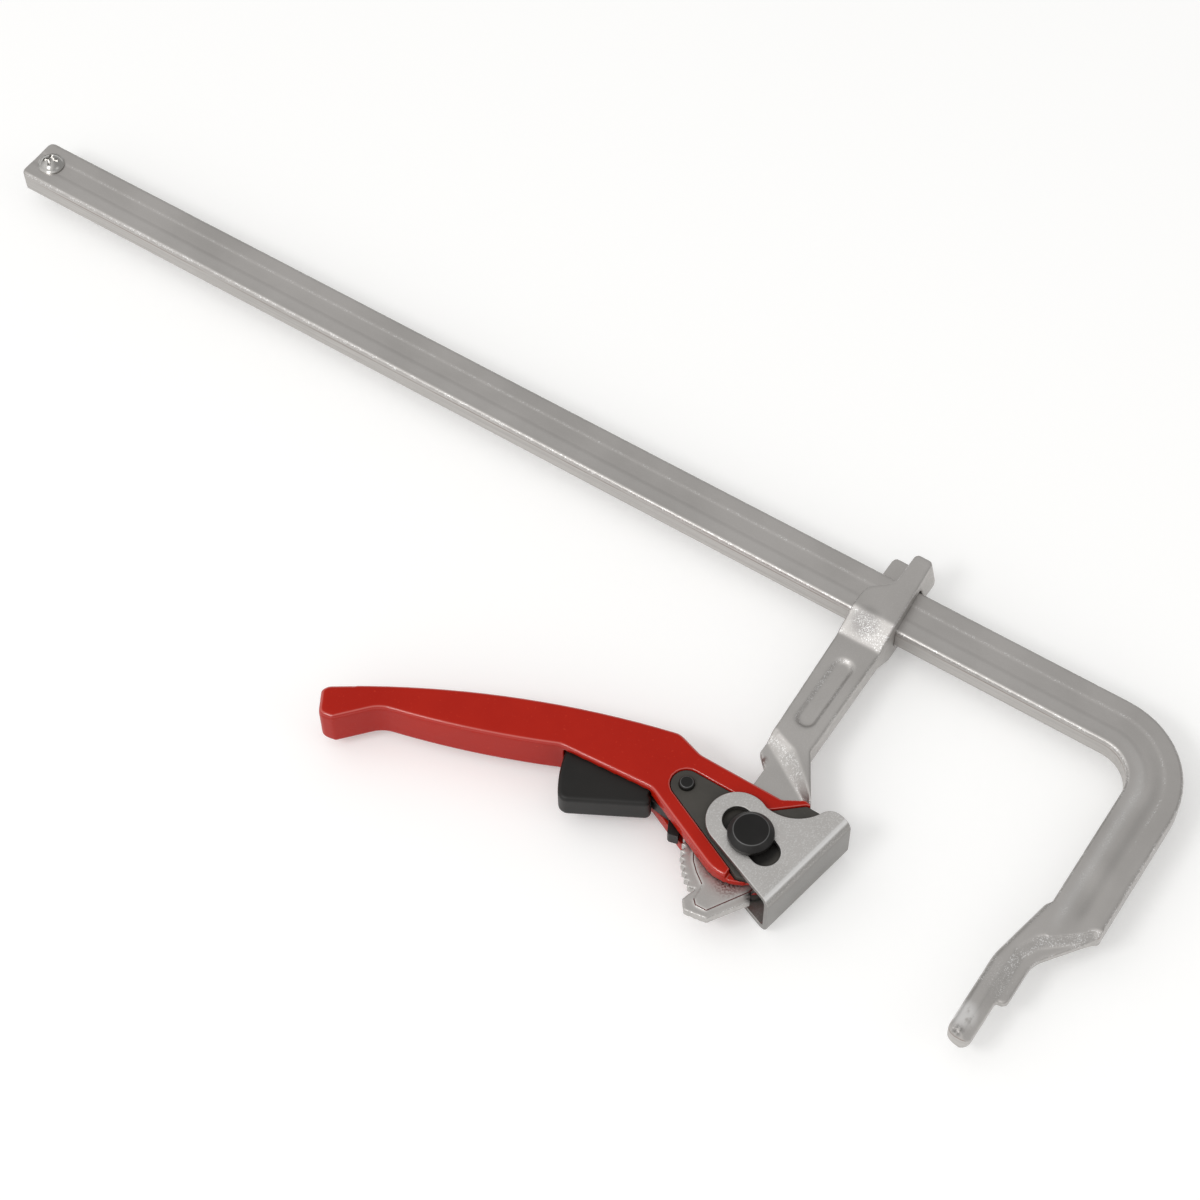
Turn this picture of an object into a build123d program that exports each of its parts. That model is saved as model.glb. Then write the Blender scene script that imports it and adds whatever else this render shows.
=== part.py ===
from build123d import *
import os
from math import acos, asin, atan2, cos, degrees, hypot, radians, sin, sqrt, tan

os.makedirs("parts", exist_ok=True)

# Ratchet clamp lying flat: +X along the rail towards the fixed jaw, +Y from the throat to the rail,
# +Z up through the thickness. The origin is the centre of the fixed jaw's clamping face.

# Rail: flat bar with a shallow groove in each wide face, bent once into the fixed arm
rail_width = 22.0
rail_thickness = 10.5
rail_length = 583.0
rail_edge_radius = 1.5
rail_end_radius = 3.0
rail_bend_radius = 27.0
rail_groove_width = 8.6
rail_groove_floor = 5.6
rail_groove_depth = 0.25

# Fixed jaw, forged at the end of the fixed arm: a pad plate with a thinner rib behind it
throat_depth = 120.0
jaw_offset = 8.0
jaw_kink = 2.0
shoulder_rise = 46.0
shoulder_drop = 0.9
pad_length = 36.0
pad_crest = 6.2
pad_slope = 3.6
tip_drop = 0.9
tip_inset = 3.6
jaw_rib_thickness = 3.4
jaw_rib_depth = 4.0
jaw_rib_start = 23.3
jaw_rib_end = 2.4
ridge_inset = 3.0
ridge_low_rise = 32.0
ridge_low_inset = 4.0
crest_blend = 8.0
jaw_corner_radius = 2.8
jaw_bend_radius = 24.0
jaw_rib_radius = 12.0
jaw_edge_radius = 3.0
jaw_toe_radius = 3.6

# Screw that stops the sliding arm at the rail's free end
stop_screw_inset = 9.0
stop_screw_diameter = 6.0
stop_head_diameter = 12.0
stop_head_height = 3.6
stop_flange_height = 1.1
stop_dome_diameter = 10.2
stop_recess_width = 1.7
stop_recess_length = 6.6
stop_recess_depth = 2.0

# Sliding arm: head around the rail, shank, and the toothed tongue that carries the lever
rest_opening = 74.7
pivot_rise = 7.0
arm_width = 19.5
arm_thickness = 11.0
arm_offset = 1.5
arm_narrowing = 2.1
arm_edge_radius = 1.2
rail_clearance = 0.35
bridge_thickness = 5.9
far_wall = 11.2
head_slope_length = 11.5
head_low_slope_length = 8.7
head_lip = 0.8
bridge_finger = 8.0
bridge_inset = 2.4
lobe_height = 1.6
head_corner_radius = 2.2
notch_rise = 38.2
notch_depth = 5.5
notch_floor_rise = 25.0
flare_rise = 47.0
flare_reach = 12.0
flare_low_rise = 25.0
tongue_thickness = 4.2
tongue_hub_share = 0.88
tongue_shoulder_angle = 52.0
step_rise = 43.6
step_slope_lengths = [5.0, 6.9, 1.5]
step_slope_shares = [0, 0.26, 1]
pocket_top_inset = 13.6
pocket_low_rise = 59.4
pocket_width = 9.0
pocket_depth = 1.3
pocket_taper = 48.0

# Ratchet teeth on the tongue's edge, and the beak below them
tooth_tip_radius = 26.1
tooth_depth = 1.8
tooth_growth = 0.54
tooth_pitch_angle = 6.4
tooth_first_angle = 170.5
tooth_count = 13
tooth_level_count = 6
beak_reach = 36.0
beak_edge_shares = [
    (-0.218, -0.717),
    (-0.256, -0.817),
    (-0.278, -0.897),
    (-0.198, -0.994),
    (0.056, -0.955),
    (0.339, -0.522),
]
land_depth = 0.5
land_edge_shares = [
    (-0.5, 0.1),
    (-0.475, -0.361),
    (-0.419, -0.453),
    (-0.314, -0.553),
    (-0.181, -0.65),
    (-0.169, -0.706),
    (-0.167, -0.836),
    (-0.119, -0.881),
    (0.006, -0.875),
    (0.27, -0.453),
    (0.35, 0.1),
]

# Pressure bracket: a U of sheet steel, slotted on the pivot pin
web_reach = 24.3
web_tilt = -10.5
web_top = 30.0
bracket_sheet = 2.5
bracket_bend_radius = 4.6
ear_radius = 12.3
slot_tilt = -11.0
slot_back = 8.1
slot_front = 8.7
slot_clearance = 0.4
flange_curve_shares = [
    (-0.2, 0.443),
    (0.197, 0.533),
    (0.437, 0.87),
    (0.507, 0.965),
    (0.613, 1.0),
]

# Lever: painted casting with two cheeks, the cam plates let into them, and the pivot pin
handle_thickness = 18.6
handle_reach = 176.0
handle_edge_radius = 1.5
fork_clearance = 0.9
cheek_floor = 1.4
cam_thickness = 3.8
cam_recess_clearance = 0.3
flange_clearance = 0.3
rim_top = 8.0
rim_tip = 2.4
rim_end_reach = 1.6
rim_end_rise = 0.9
rim_tip_angle = 31.0
rim_low_wall = 2.7
lip_radius_share = 0.85
lip_offset = 1.5
lip_angle = -45.0
lip_height = 1.6
floor_radius_share = 0.85
cheek_front_angle = 52.0
crotch_clearance = 1.5
neck_round = 7.0
neck_run = 2.5
grip_edge_shares = [
    (-0.267, 0.142),
    (-0.641, 0.0155),
    (-0.9915, -0.180),
    (-1.0, -0.197),
    (-0.968, -0.252),
    (-0.936, -0.246),
    (-0.862, -0.163),
    (-0.6875, -0.1125),
    (-0.472, -0.0275),
]
grip_end_round = 3.0
grip_tip_round = 1.6
grip_hook_round = 14.0

# Cam: the bracket's web moves by this length for each radian of the lever
cam_throw = 10.0
cam_run_gap = 0.4
cam_low_margin = 0.5
cam_low_share = 0.8
cam_eye_radius = 6.2
cam_nose_width = 6.0
cam_nose_round = 1.6
cam_step_angle = 41.0
lever_open_angle = 12.0
lever_clamp_angle = 32.0
swivel_up_angle = 12.0
swivel_down_angle = 6.0
cam_end_angle_margin = 1.6

pivot_diameter = 11.0
pivot_head_diameter = 18.0
pivot_head_height = 4.3
pivot_head_chamfer = 2.2
pivot_head_gap = 0.2
pivot_cap_height = 2.6
pivot_cap_chamfer = 0.9
pivot_run_clearance = 0.05

# Pawl and trigger: one lever on the small pin, sprung against the teeth
pawl_pin_reach = 33.0
pawl_pin_rise = 7.2
pawl_pin_diameter = 6.0
pawl_pin_stand = 1.9
pawl_pin_chamfer = 0.6
pawl_hub_radius = 6.0
pawl_side_clearance = 0.5
pawl_nose_gap = 1.5
pawl_nose_angle = 204.0
pawl_heel_reach = 4.2
pawl_heel_drop = 1.2
pawl_heel_radius = 1.4
pawl_tail_reach = 22.0
pawl_tail_width = 6.0
trigger_radius = 49.5
trigger_top_angle = 188.0
trigger_low_angle = 218.8
trigger_width = 12.0
trigger_side_clearance = 0.4
trigger_end_clearance = 0.7
trigger_front_reach = 6.0
trigger_front_drop = 13.0
trigger_front_rise = 3.4
trigger_inner_reach = 11.0
trigger_inner_drop = 4.4
trigger_corner_radius = 4.0
trigger_front_radius = 2.6
trigger_edge_radius = 1.6
trigger_pull_angle = 10.0
trigger_roof_gap = 0.9
rivet_diameter = 2.6
rivet_spacing = 6.0
rivet_drop = 7.2
rivet_inset = 13.0
spring_diameter = 6.4
spring_wire = 0.9
spring_turns = 5
spring_reach = 33.0
spring_length = 16.4
spring_roof_depth = 2.0
spring_clearance = 0.4
cut_over = 6.0

# Places worked out from the sizes above
rail_y = throat_depth + rail_width / 2
rail_left = jaw_offset + rail_width - rail_length
arm_x = jaw_offset + rail_width / 2
jaw_outer = jaw_offset + rail_width
pad_half = pad_length / 2
plate_depth = pad_crest + pad_slope
pivot_x = -(rest_opening + web_reach)
rail_half = rail_thickness / 2
arm_half = arm_thickness / 2
tongue_half = tongue_thickness / 2
fork_half = tongue_half + land_depth + fork_clearance
cam_inner = fork_half + cheek_floor
cam_outer = cam_inner + cam_thickness
handle_half = handle_thickness / 2
bracket_half = handle_half + flange_clearance + bracket_sheet
pivot_radius = pivot_diameter / 2
pivot_bore = pivot_radius + pivot_run_clearance
trigger_half = trigger_width / 2
pawl_half = fork_half - pawl_side_clearance


def from_pivot(dx, dy):
    return (pivot_x + dx, pivot_rise + dy)


def round_pivot(radius, angle):
    return from_pivot(radius * cos(radians(angle)), radius * sin(radians(angle)))


def from_pawl_pin(dx, dy):
    return from_pivot(dx - pawl_pin_reach, dy + pawl_pin_rise)


def round_pawl_pin(radius, angle):
    return from_pawl_pin(radius * cos(radians(angle)), radius * sin(radians(angle)))


def between(start, end, share=0.5):
    return tuple(a + (b - a) * share for a, b in zip(start, end))


def corner(sketch, point):
    return sketch.vertices().sort_by_distance(point)[0]


pivot_plane = Plane(origin=(pivot_x, pivot_rise, 0))
pawl_pin_plane = Plane(origin=(*from_pawl_pin(0, 0), 0))

# Rail and fixed jaw
with BuildPart() as rail:
    with BuildLine():
        bar_line = Line((rail_left, rail_y), (arm_x - rail_bend_radius, rail_y))
        bend_line = JernArc(bar_line @ 1, (1, 0), rail_bend_radius, -90)
        Line(bend_line @ 1, (arm_x, shoulder_rise))
    with BuildSketch(Plane(origin=(rail_left, rail_y, 0), x_dir=(0, 1, 0), z_dir=(1, 0, 0))):
        RectangleRounded(rail_width, rail_thickness, rail_edge_radius)
        for side in (1, -1):
            with BuildLine():
                Polyline(
                    (-rail_groove_width / 2, side * rail_half),
                    (-rail_groove_floor / 2, side * (rail_half - rail_groove_depth)),
                    (rail_groove_floor / 2, side * (rail_half - rail_groove_depth)),
                    (rail_groove_width / 2, side * rail_half),
                    close=True,
                )
            make_face(mode=Mode.SUBTRACT)
    sweep()
    # Corners of the free end
    with BuildSketch():
        for side in (1, -1):
            edge_y = rail_y + side * rail_width / 2
            with BuildLine():
                ThreePointArc(
                    (rail_left, edge_y - side * rail_end_radius),
                    (
                        rail_left + rail_end_radius * (1 - sqrt(0.5)),
                        edge_y - side * rail_end_radius * (1 - sqrt(0.5)),
                    ),
                    (rail_left + rail_end_radius, edge_y),
                )
                Polyline(
                    (rail_left + rail_end_radius, edge_y),
                    (rail_left, edge_y),
                    (rail_left, edge_y - side * rail_end_radius),
                )
            make_face()
    extrude(amount=rail_thickness, both=True, mode=Mode.SUBTRACT)
    # Fixed jaw at full thickness
    tip_low = -(pad_half + tip_drop)
    rib_outer = plate_depth + jaw_rib_depth
    with BuildSketch() as jaw_outline:
        with BuildLine():
            Polyline(
                (jaw_offset, shoulder_rise + jaw_kink),
                (jaw_offset - jaw_kink, shoulder_rise),
                (0, pad_half),
                (0, -pad_half),
                (tip_inset, tip_low),
                (plate_depth, tip_low),
                (plate_depth, jaw_rib_end),
                (rib_outer, jaw_rib_end),
                (rib_outer, jaw_rib_start),
                (jaw_outer, shoulder_rise - shoulder_drop),
                (jaw_outer, shoulder_rise + jaw_kink),
                close=True,
            )
        make_face()
        jaw_corners = [(plate_depth, tip_low), (rib_outer, jaw_rib_end)]
        fillet([corner(jaw_outline, p) for p in jaw_corners], jaw_corner_radius)
        fillet(corner(jaw_outline, (0, -pad_half)), jaw_toe_radius)
        fillet(corner(jaw_outline, (rib_outer, jaw_rib_start)), jaw_rib_radius)
        fillet(corner(jaw_outline, (0, pad_half)), jaw_bend_radius)
    extrude(amount=rail_half, both=True)
    # Round the jaw's clamping edges
    for face_edges in (rail.edges().group_by(Axis.Z)[-1], rail.edges().group_by(Axis.Z)[0]):
        jaw_edges = face_edges.filter_by(lambda edge: edge.center().Y < shoulder_rise)
        fillet(jaw_edges.filter_by(lambda edge: edge.center().X < pad_crest / 2), jaw_edge_radius)
    # Sloped back of the pad plate and shoulder, down to the rib on both sides
    rib_half = jaw_rib_thickness / 2
    slope_angle = degrees(atan2(pad_slope, rail_half - rib_half))
    for side in (1, -1):
        with BuildSketch(Plane.XY.offset(side * rail_half)):
            with BuildLine():
                Polyline(
                    (jaw_outer + cut_over, shoulder_rise + jaw_kink),
                    (jaw_outer - ridge_inset, shoulder_rise),
                    (pad_crest + ridge_low_inset, ridge_low_rise),
                    (pad_crest, ridge_low_rise - crest_blend),
                    (pad_crest, -pad_half),
                    (-cut_over, -pad_half),
                    (-cut_over, tip_low - cut_over),
                    (jaw_outer + cut_over, tip_low - cut_over),
                    close=True,
                )
            make_face()
        extrude(amount=-side * (rail_half - rib_half), taper=slope_angle, mode=Mode.SUBTRACT)
    # Hole of the stop screw
    with Locations((rail_left + stop_screw_inset, rail_y, rail_half)):
        Hole(stop_screw_diameter / 2)
rail.part.label = "rail"
export_step(rail.part, "parts/rail.step")

# Stop screw: pan head with a thin flange and a cross recess
dome_rise = stop_head_height - stop_flange_height
dome_radius = ((stop_dome_diameter / 2) ** 2 + dome_rise**2) / (2 * dome_rise)
dome_turn = asin(stop_dome_diameter / 2 / dome_radius)
dome_centre = stop_head_height - dome_radius
with BuildPart() as end_stop_screw:
    screw_seat = (rail_left + stop_screw_inset, rail_y, rail_half)
    screw_plane = Plane(origin=screw_seat, x_dir=(1, 0, 0), z_dir=(0, -1, 0))
    with BuildSketch(screw_plane):
        with BuildLine():
            Polyline(
                (0, -rail_thickness),
                (stop_screw_diameter / 2, -rail_thickness),
                (stop_screw_diameter / 2, 0),
                (stop_head_diameter / 2, 0),
                (stop_head_diameter / 2, stop_flange_height / 2),
                (stop_dome_diameter / 2, stop_flange_height),
            )
            ThreePointArc(
                (stop_dome_diameter / 2, stop_flange_height),
                (dome_radius * sin(dome_turn / 2), dome_centre + dome_radius * cos(dome_turn / 2)),
                (0, stop_head_height),
            )
            Line((0, stop_head_height), (0, -rail_thickness))
        make_face()
    revolve(axis=Axis(screw_plane.origin, (0, 0, 1)))
    with BuildSketch(Plane(origin=(rail_left + stop_screw_inset, rail_y, rail_half + stop_head_height))):
        Rectangle(stop_recess_length, stop_recess_width, rotation=30)
        Rectangle(stop_recess_width, stop_recess_length, rotation=30)
    extrude(amount=-stop_recess_depth, mode=Mode.SUBTRACT)
end_stop_screw.part.label = "end_stop_screw"
export_step(end_stop_screw.part, "parts/end_stop_screw.step")

# Cam heights: an involute, so that the flat web follows the lever at a constant rate
cam_play = cam_throw * radians(swivel_up_angle) + cam_run_gap
cam_rest = web_reach - bracket_sheet - cam_play
cam_start_angle = web_tilt - lever_open_angle - swivel_down_angle
cam_end_angle = web_tilt + lever_clamp_angle + swivel_up_angle + cam_end_angle_margin
flat_height = cam_rest + cam_throw * radians(cam_start_angle - web_tilt)
cam_low_radius = flat_height + cam_low_margin
cam_low = cam_low_radius * cam_low_share
tongue_hub_radius = cam_rest * tongue_hub_share

# Sliding arm
window_near = throat_depth - rail_clearance
window_far = throat_depth + rail_width + rail_clearance
window_half = rail_half + rail_clearance
head_half = window_half + bridge_thickness
arm_left = -(arm_offset + arm_width)
notch_left = arm_left + arm_narrowing
head_mid = arm_left + arm_width / 2
head_foot = window_near - head_lip - head_slope_length
finger_left = -(arm_offset + bridge_inset + bridge_finger)
with BuildPart() as sliding_arm:
    # Tongue with the ratchet teeth
    with BuildSketch() as tongue_outline:
        with BuildLine():
            tooth_points = []
            for index in range(tooth_count):
                tooth_angle = tooth_first_angle + index * tooth_pitch_angle
                tip_radius = tooth_tip_radius + tooth_growth * max(0, index - tooth_level_count)
                tooth_points.append(round_pivot(tip_radius, tooth_angle))
                root_angle = tooth_angle + tooth_pitch_angle / 2
                tooth_points.append(round_pivot(tip_radius - tooth_depth, root_angle))
            beak_points = [from_pivot(beak_reach * u, beak_reach * v) for u, v in beak_edge_shares]
            hub_low_angle = degrees(atan2(beak_edge_shares[-1][1], beak_edge_shares[-1][0]))
            Polyline(
                round_pivot(tongue_hub_radius, tongue_shoulder_angle),
                from_pivot(flare_reach, flare_low_rise),
                from_pivot(-arm_offset, flare_rise),
                from_pivot(notch_left, flare_rise),
                from_pivot(notch_left, notch_rise),
                from_pivot(notch_left + notch_depth, notch_rise - notch_depth),
                from_pivot(notch_left + notch_depth, notch_floor_rise),
                *tooth_points[:-1],
                *beak_points,
                round_pivot(tongue_hub_radius, hub_low_angle),
            )
            ThreePointArc(
                round_pivot(tongue_hub_radius, hub_low_angle),
                round_pivot(tongue_hub_radius, (hub_low_angle + tongue_shoulder_angle) / 2),
                round_pivot(tongue_hub_radius, tongue_shoulder_angle),
            )
        make_face()
    extrude(amount=tongue_half, both=True)
    with BuildSketch():
        with BuildLine():
            Polyline(*[from_pivot(beak_reach * u, beak_reach * v) for u, v in land_edge_shares], close=True)
        make_face()
    extrude(amount=tongue_half + land_depth, both=True)
    # Shank, thicker than the tongue, ending in a slanted step
    step_low = from_pivot(notch_left, step_rise)
    step_high = from_pivot(flare_reach, flare_low_rise)
    with BuildSketch():
        with BuildLine():
            Polyline(
                (pivot_x + arm_left, head_foot + head_slope_length),
                (pivot_x + arm_left, head_foot),
                step_low,
                step_high,
                from_pivot(-arm_offset, flare_rise),
                (pivot_x - arm_offset, head_foot + head_slope_length),
                close=True,
            )
        make_face()
    extrude(amount=arm_half, both=True)
    step_run = (step_high[0] - step_low[0], step_high[1] - step_low[1], 0)
    step_across = (step_run[1], -step_run[0], 0)
    step_places = list(zip(step_slope_shares, step_slope_lengths))
    for side in (1, -1):
        for place_pair in zip(step_places, step_places[1:]):
            for share, slope_length in place_pair:
                section_origin = (*between(step_low, step_high, share), 0)
                with BuildSketch(Plane(origin=section_origin, x_dir=step_across, z_dir=step_run)):
                    with BuildLine():
                        Polyline(
                            (cut_over, -side * tongue_half),
                            (0, -side * tongue_half),
                            (-slope_length, -side * arm_half),
                            (-slope_length, -side * (arm_half + cut_over)),
                            (cut_over, -side * (arm_half + cut_over)),
                            close=True,
                        )
                    make_face()
            loft(ruled=True, mode=Mode.SUBTRACT)
    # Near block of the head, sloping up from the shank
    with BuildSketch(Plane(origin=(pivot_x + arm_left, 0, 0), x_dir=(0, 1, 0), z_dir=(1, 0, 0))):
        with BuildLine():
            Polyline(
                (head_foot, arm_half),
                (head_foot + head_slope_length, head_half),
                (window_near, head_half),
                (window_near, -head_half),
                (head_foot + head_low_slope_length, -head_half),
                (head_foot, -arm_half),
                close=True,
            )
        make_face()
    extrude(amount=arm_width)
    # Bridges over and under the rail, each narrowing to a finger on opposite sides
    for side in (1, -1):
        with BuildSketch(Plane.XY.offset(side * window_half)):
            mid_x = pivot_x + head_mid

            def bridge_point(dx, y):
                return (mid_x + side * (pivot_x + dx - mid_x), y)

            with BuildLine():
                Polyline(
                    bridge_point(finger_left, window_far - head_corner_radius),
                    bridge_point(finger_left, window_far + far_wall),
                    bridge_point(finger_left + bridge_finger, window_far + far_wall),
                    bridge_point(-arm_offset, window_near),
                    bridge_point(-arm_offset, window_near - head_lip),
                    bridge_point(arm_left, window_near - head_lip),
                    bridge_point(arm_left, window_near + rail_width / 4),
                )
                Spline(
                    bridge_point(arm_left, window_near + rail_width / 4),
                    bridge_point(finger_left, window_far - head_corner_radius),
                    tangents=((0, 1), (0, 1)),
                )
            make_face()
        extrude(amount=side * bridge_thickness)
    # Far wall: two lobes that carry the fingers
    with BuildSketch(Plane(origin=(pivot_x, window_far + far_wall, 0), x_dir=(1, 0, 0), z_dir=(0, -1, 0))):
        for side in (1, -1):
            with BuildLine():
                wall_points = [
                    (finger_left, head_half),
                    (finger_left + bridge_finger, head_half),
                    (finger_left + bridge_finger + bridge_inset, lobe_height),
                    (finger_left + bridge_finger + bridge_inset, -lobe_height),
                    (finger_left, -lobe_height),
                ]
                Polyline(*[(head_mid + side * (u - head_mid), side * v) for u, v in wall_points], close=True)
            make_face()
    extrude(amount=far_wall)
    # Stadium pockets in both faces of the shank
    pocket_high = head_foot - pocket_top_inset
    pocket_low = pivot_rise + pocket_low_rise
    pocket_x = pivot_x + (arm_left + arm_narrowing / 2 - arm_offset) / 2
    for side in (1, -1):
        with BuildSketch(Plane(origin=(pocket_x, (pocket_high + pocket_low) / 2, side * arm_half))):
            SlotCenterToCenter(pocket_high - pocket_low, pocket_width, rotation=90)
        extrude(amount=-side * pocket_depth, taper=pocket_taper, mode=Mode.SUBTRACT)
    with BuildSketch(pivot_plane):
        Circle(pivot_bore)
    extrude(amount=arm_thickness, both=True, mode=Mode.SUBTRACT)
    # Rounded edges: the shank's long edges and the far end of the head
    long_edges = sliding_arm.edges().filter_by(GeomType.LINE)
    long_edges = long_edges.filter_by(lambda edge: pivot_rise + flare_rise < edge.center().Y < head_foot)
    long_edges = long_edges.filter_by(lambda edge: abs(edge.center().X - pocket_x) > pocket_width * 2 / 3)
    fillet(long_edges.filter_by(lambda edge: edge.length > arm_width), arm_edge_radius)
    end_edges = sliding_arm.faces().sort_by(Axis.Y)[-1].edges()
    fillet(end_edges - end_edges.filter_by(Axis.X), head_corner_radius)
sliding_arm.part.label = "sliding_arm"
export_step(sliding_arm.part, "parts/sliding_arm.step")

# Cam outline
def cam_edge(angle):
    height = cam_rest + cam_throw * radians(angle - web_tilt)
    turn = radians(angle)
    return from_pivot(
        height * cos(turn) - cam_throw * sin(turn),
        height * sin(turn) + cam_throw * cos(turn),
    )


pin_distance = hypot(pawl_pin_reach, pawl_pin_rise)
low_angle = -degrees(atan2(pawl_pin_rise, pawl_pin_reach)) - degrees(
    asin((cam_low - cam_eye_radius) / pin_distance)
)
low_run = (cos(radians(low_angle)), sin(radians(low_angle)))
low_out = (low_run[1], -low_run[0])


def low_line(distance, along):
    return from_pivot(
        distance * low_out[0] + along * low_run[0],
        distance * low_out[1] + along * low_run[1],
    )


cam_start = cam_edge(cam_start_angle)
cam_end = cam_edge(cam_end_angle)
cam_nose = (cam_end[0] - cam_nose_width, cam_end[1])
cam_top = pawl_pin_rise + cam_eye_radius
cam_step = (
    cam_nose[0] - (cam_nose[1] - pivot_rise - cam_top) / tan(radians(cam_step_angle)),
    pivot_rise + cam_top,
)
cam_low_end = low_line(cam_low, sqrt(cam_low_radius**2 - cam_low**2))
cam_low_turn = degrees(atan2(cam_low_end[1] - pivot_rise, cam_low_end[0] - pivot_x))
# Where the straight run below the involute meets the low arc
flat_turn = cam_start_angle - degrees(acos(flat_height / cam_low_radius))
cam_flat_end = round_pivot(cam_low_radius, flat_turn)


def draw_cam_outline():
    ThreePointArc(
        from_pawl_pin(0, cam_eye_radius),
        from_pawl_pin(-cam_eye_radius, 0),
        from_pawl_pin(cam_eye_radius * low_out[0], cam_eye_radius * low_out[1]),
    )
    Line(from_pawl_pin(cam_eye_radius * low_out[0], cam_eye_radius * low_out[1]), cam_low_end)
    ThreePointArc(
        cam_low_end,
        round_pivot(cam_low_radius, (cam_low_turn + flat_turn) / 2),
        cam_flat_end,
    )
    Line(cam_flat_end, cam_start)
    cam_quarters = [cam_start_angle + (cam_end_angle - cam_start_angle) * n / 4 for n in range(5)]
    ThreePointArc(*[cam_edge(a) for a in cam_quarters[:3]])
    ThreePointArc(*[cam_edge(a) for a in cam_quarters[2:]])
    Polyline(cam_end, cam_nose, cam_step, from_pawl_pin(0, cam_eye_radius))


def make_cam_plate(side):
    with BuildPart() as plate:
        with BuildSketch(Plane.XY.offset(side * cam_inner)) as face:
            with BuildLine():
                draw_cam_outline()
            make_face()
            nose_corners = [corner(face, (*point, side * cam_inner)) for point in (cam_end, cam_nose)]
            fillet(nose_corners, cam_nose_round)
        extrude(amount=side * cam_thickness)
        with BuildSketch(pivot_plane):
            Circle(pivot_bore)
        extrude(amount=side * handle_thickness, mode=Mode.SUBTRACT)
        with BuildSketch(pawl_pin_plane):
            Circle(pawl_pin_diameter / 2)
        extrude(amount=side * handle_thickness, mode=Mode.SUBTRACT)
    return plate


cam_plate_upper = make_cam_plate(1)
cam_plate_upper.part.label = "cam_plate_upper"
export_step(cam_plate_upper.part, "parts/cam_plate_upper.step")
cam_plate_lower = make_cam_plate(-1)
cam_plate_lower.part.label = "cam_plate_lower"
export_step(cam_plate_lower.part, "parts/cam_plate_lower.step")

# Lever handle
cheek_top = cam_top + rim_top
step_turn = radians(cam_step_angle)
rim_tip_point = (cam_nose[0] - rim_tip * sin(step_turn), cam_nose[1] + rim_tip * cos(step_turn))
rim_corner = (
    rim_tip_point[0] - (rim_tip_point[1] - pivot_rise - cheek_top) / tan(radians(rim_tip_angle)),
    pivot_rise + cheek_top,
)
rim_low = cam_low_radius + cam_recess_clearance + rim_low_wall
lip_radius = rim_low * lip_radius_share
cheek_floor_radius = rim_low * floor_radius_share
rim_low_end = low_line(rim_low, -lip_offset)
lip_centre = low_line(rim_low - lip_radius, -lip_offset)


def round_lip(angle):
    return (lip_centre[0] + lip_radius * cos(radians(angle)), lip_centre[1] + lip_radius * sin(radians(angle)))


lip_end = round_lip(lip_angle)
floor_turn = degrees(atan2(lip_end[1] - pivot_rise, lip_end[0] - pivot_x))
neck_low = low_line(rim_low, -pin_distance - 2 * neck_run)
neck_top = from_pawl_pin(-neck_run, cheek_top - pawl_pin_rise)
grip_points = [from_pivot(handle_reach * u, handle_reach * v) for u, v in grip_edge_shares]
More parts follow.
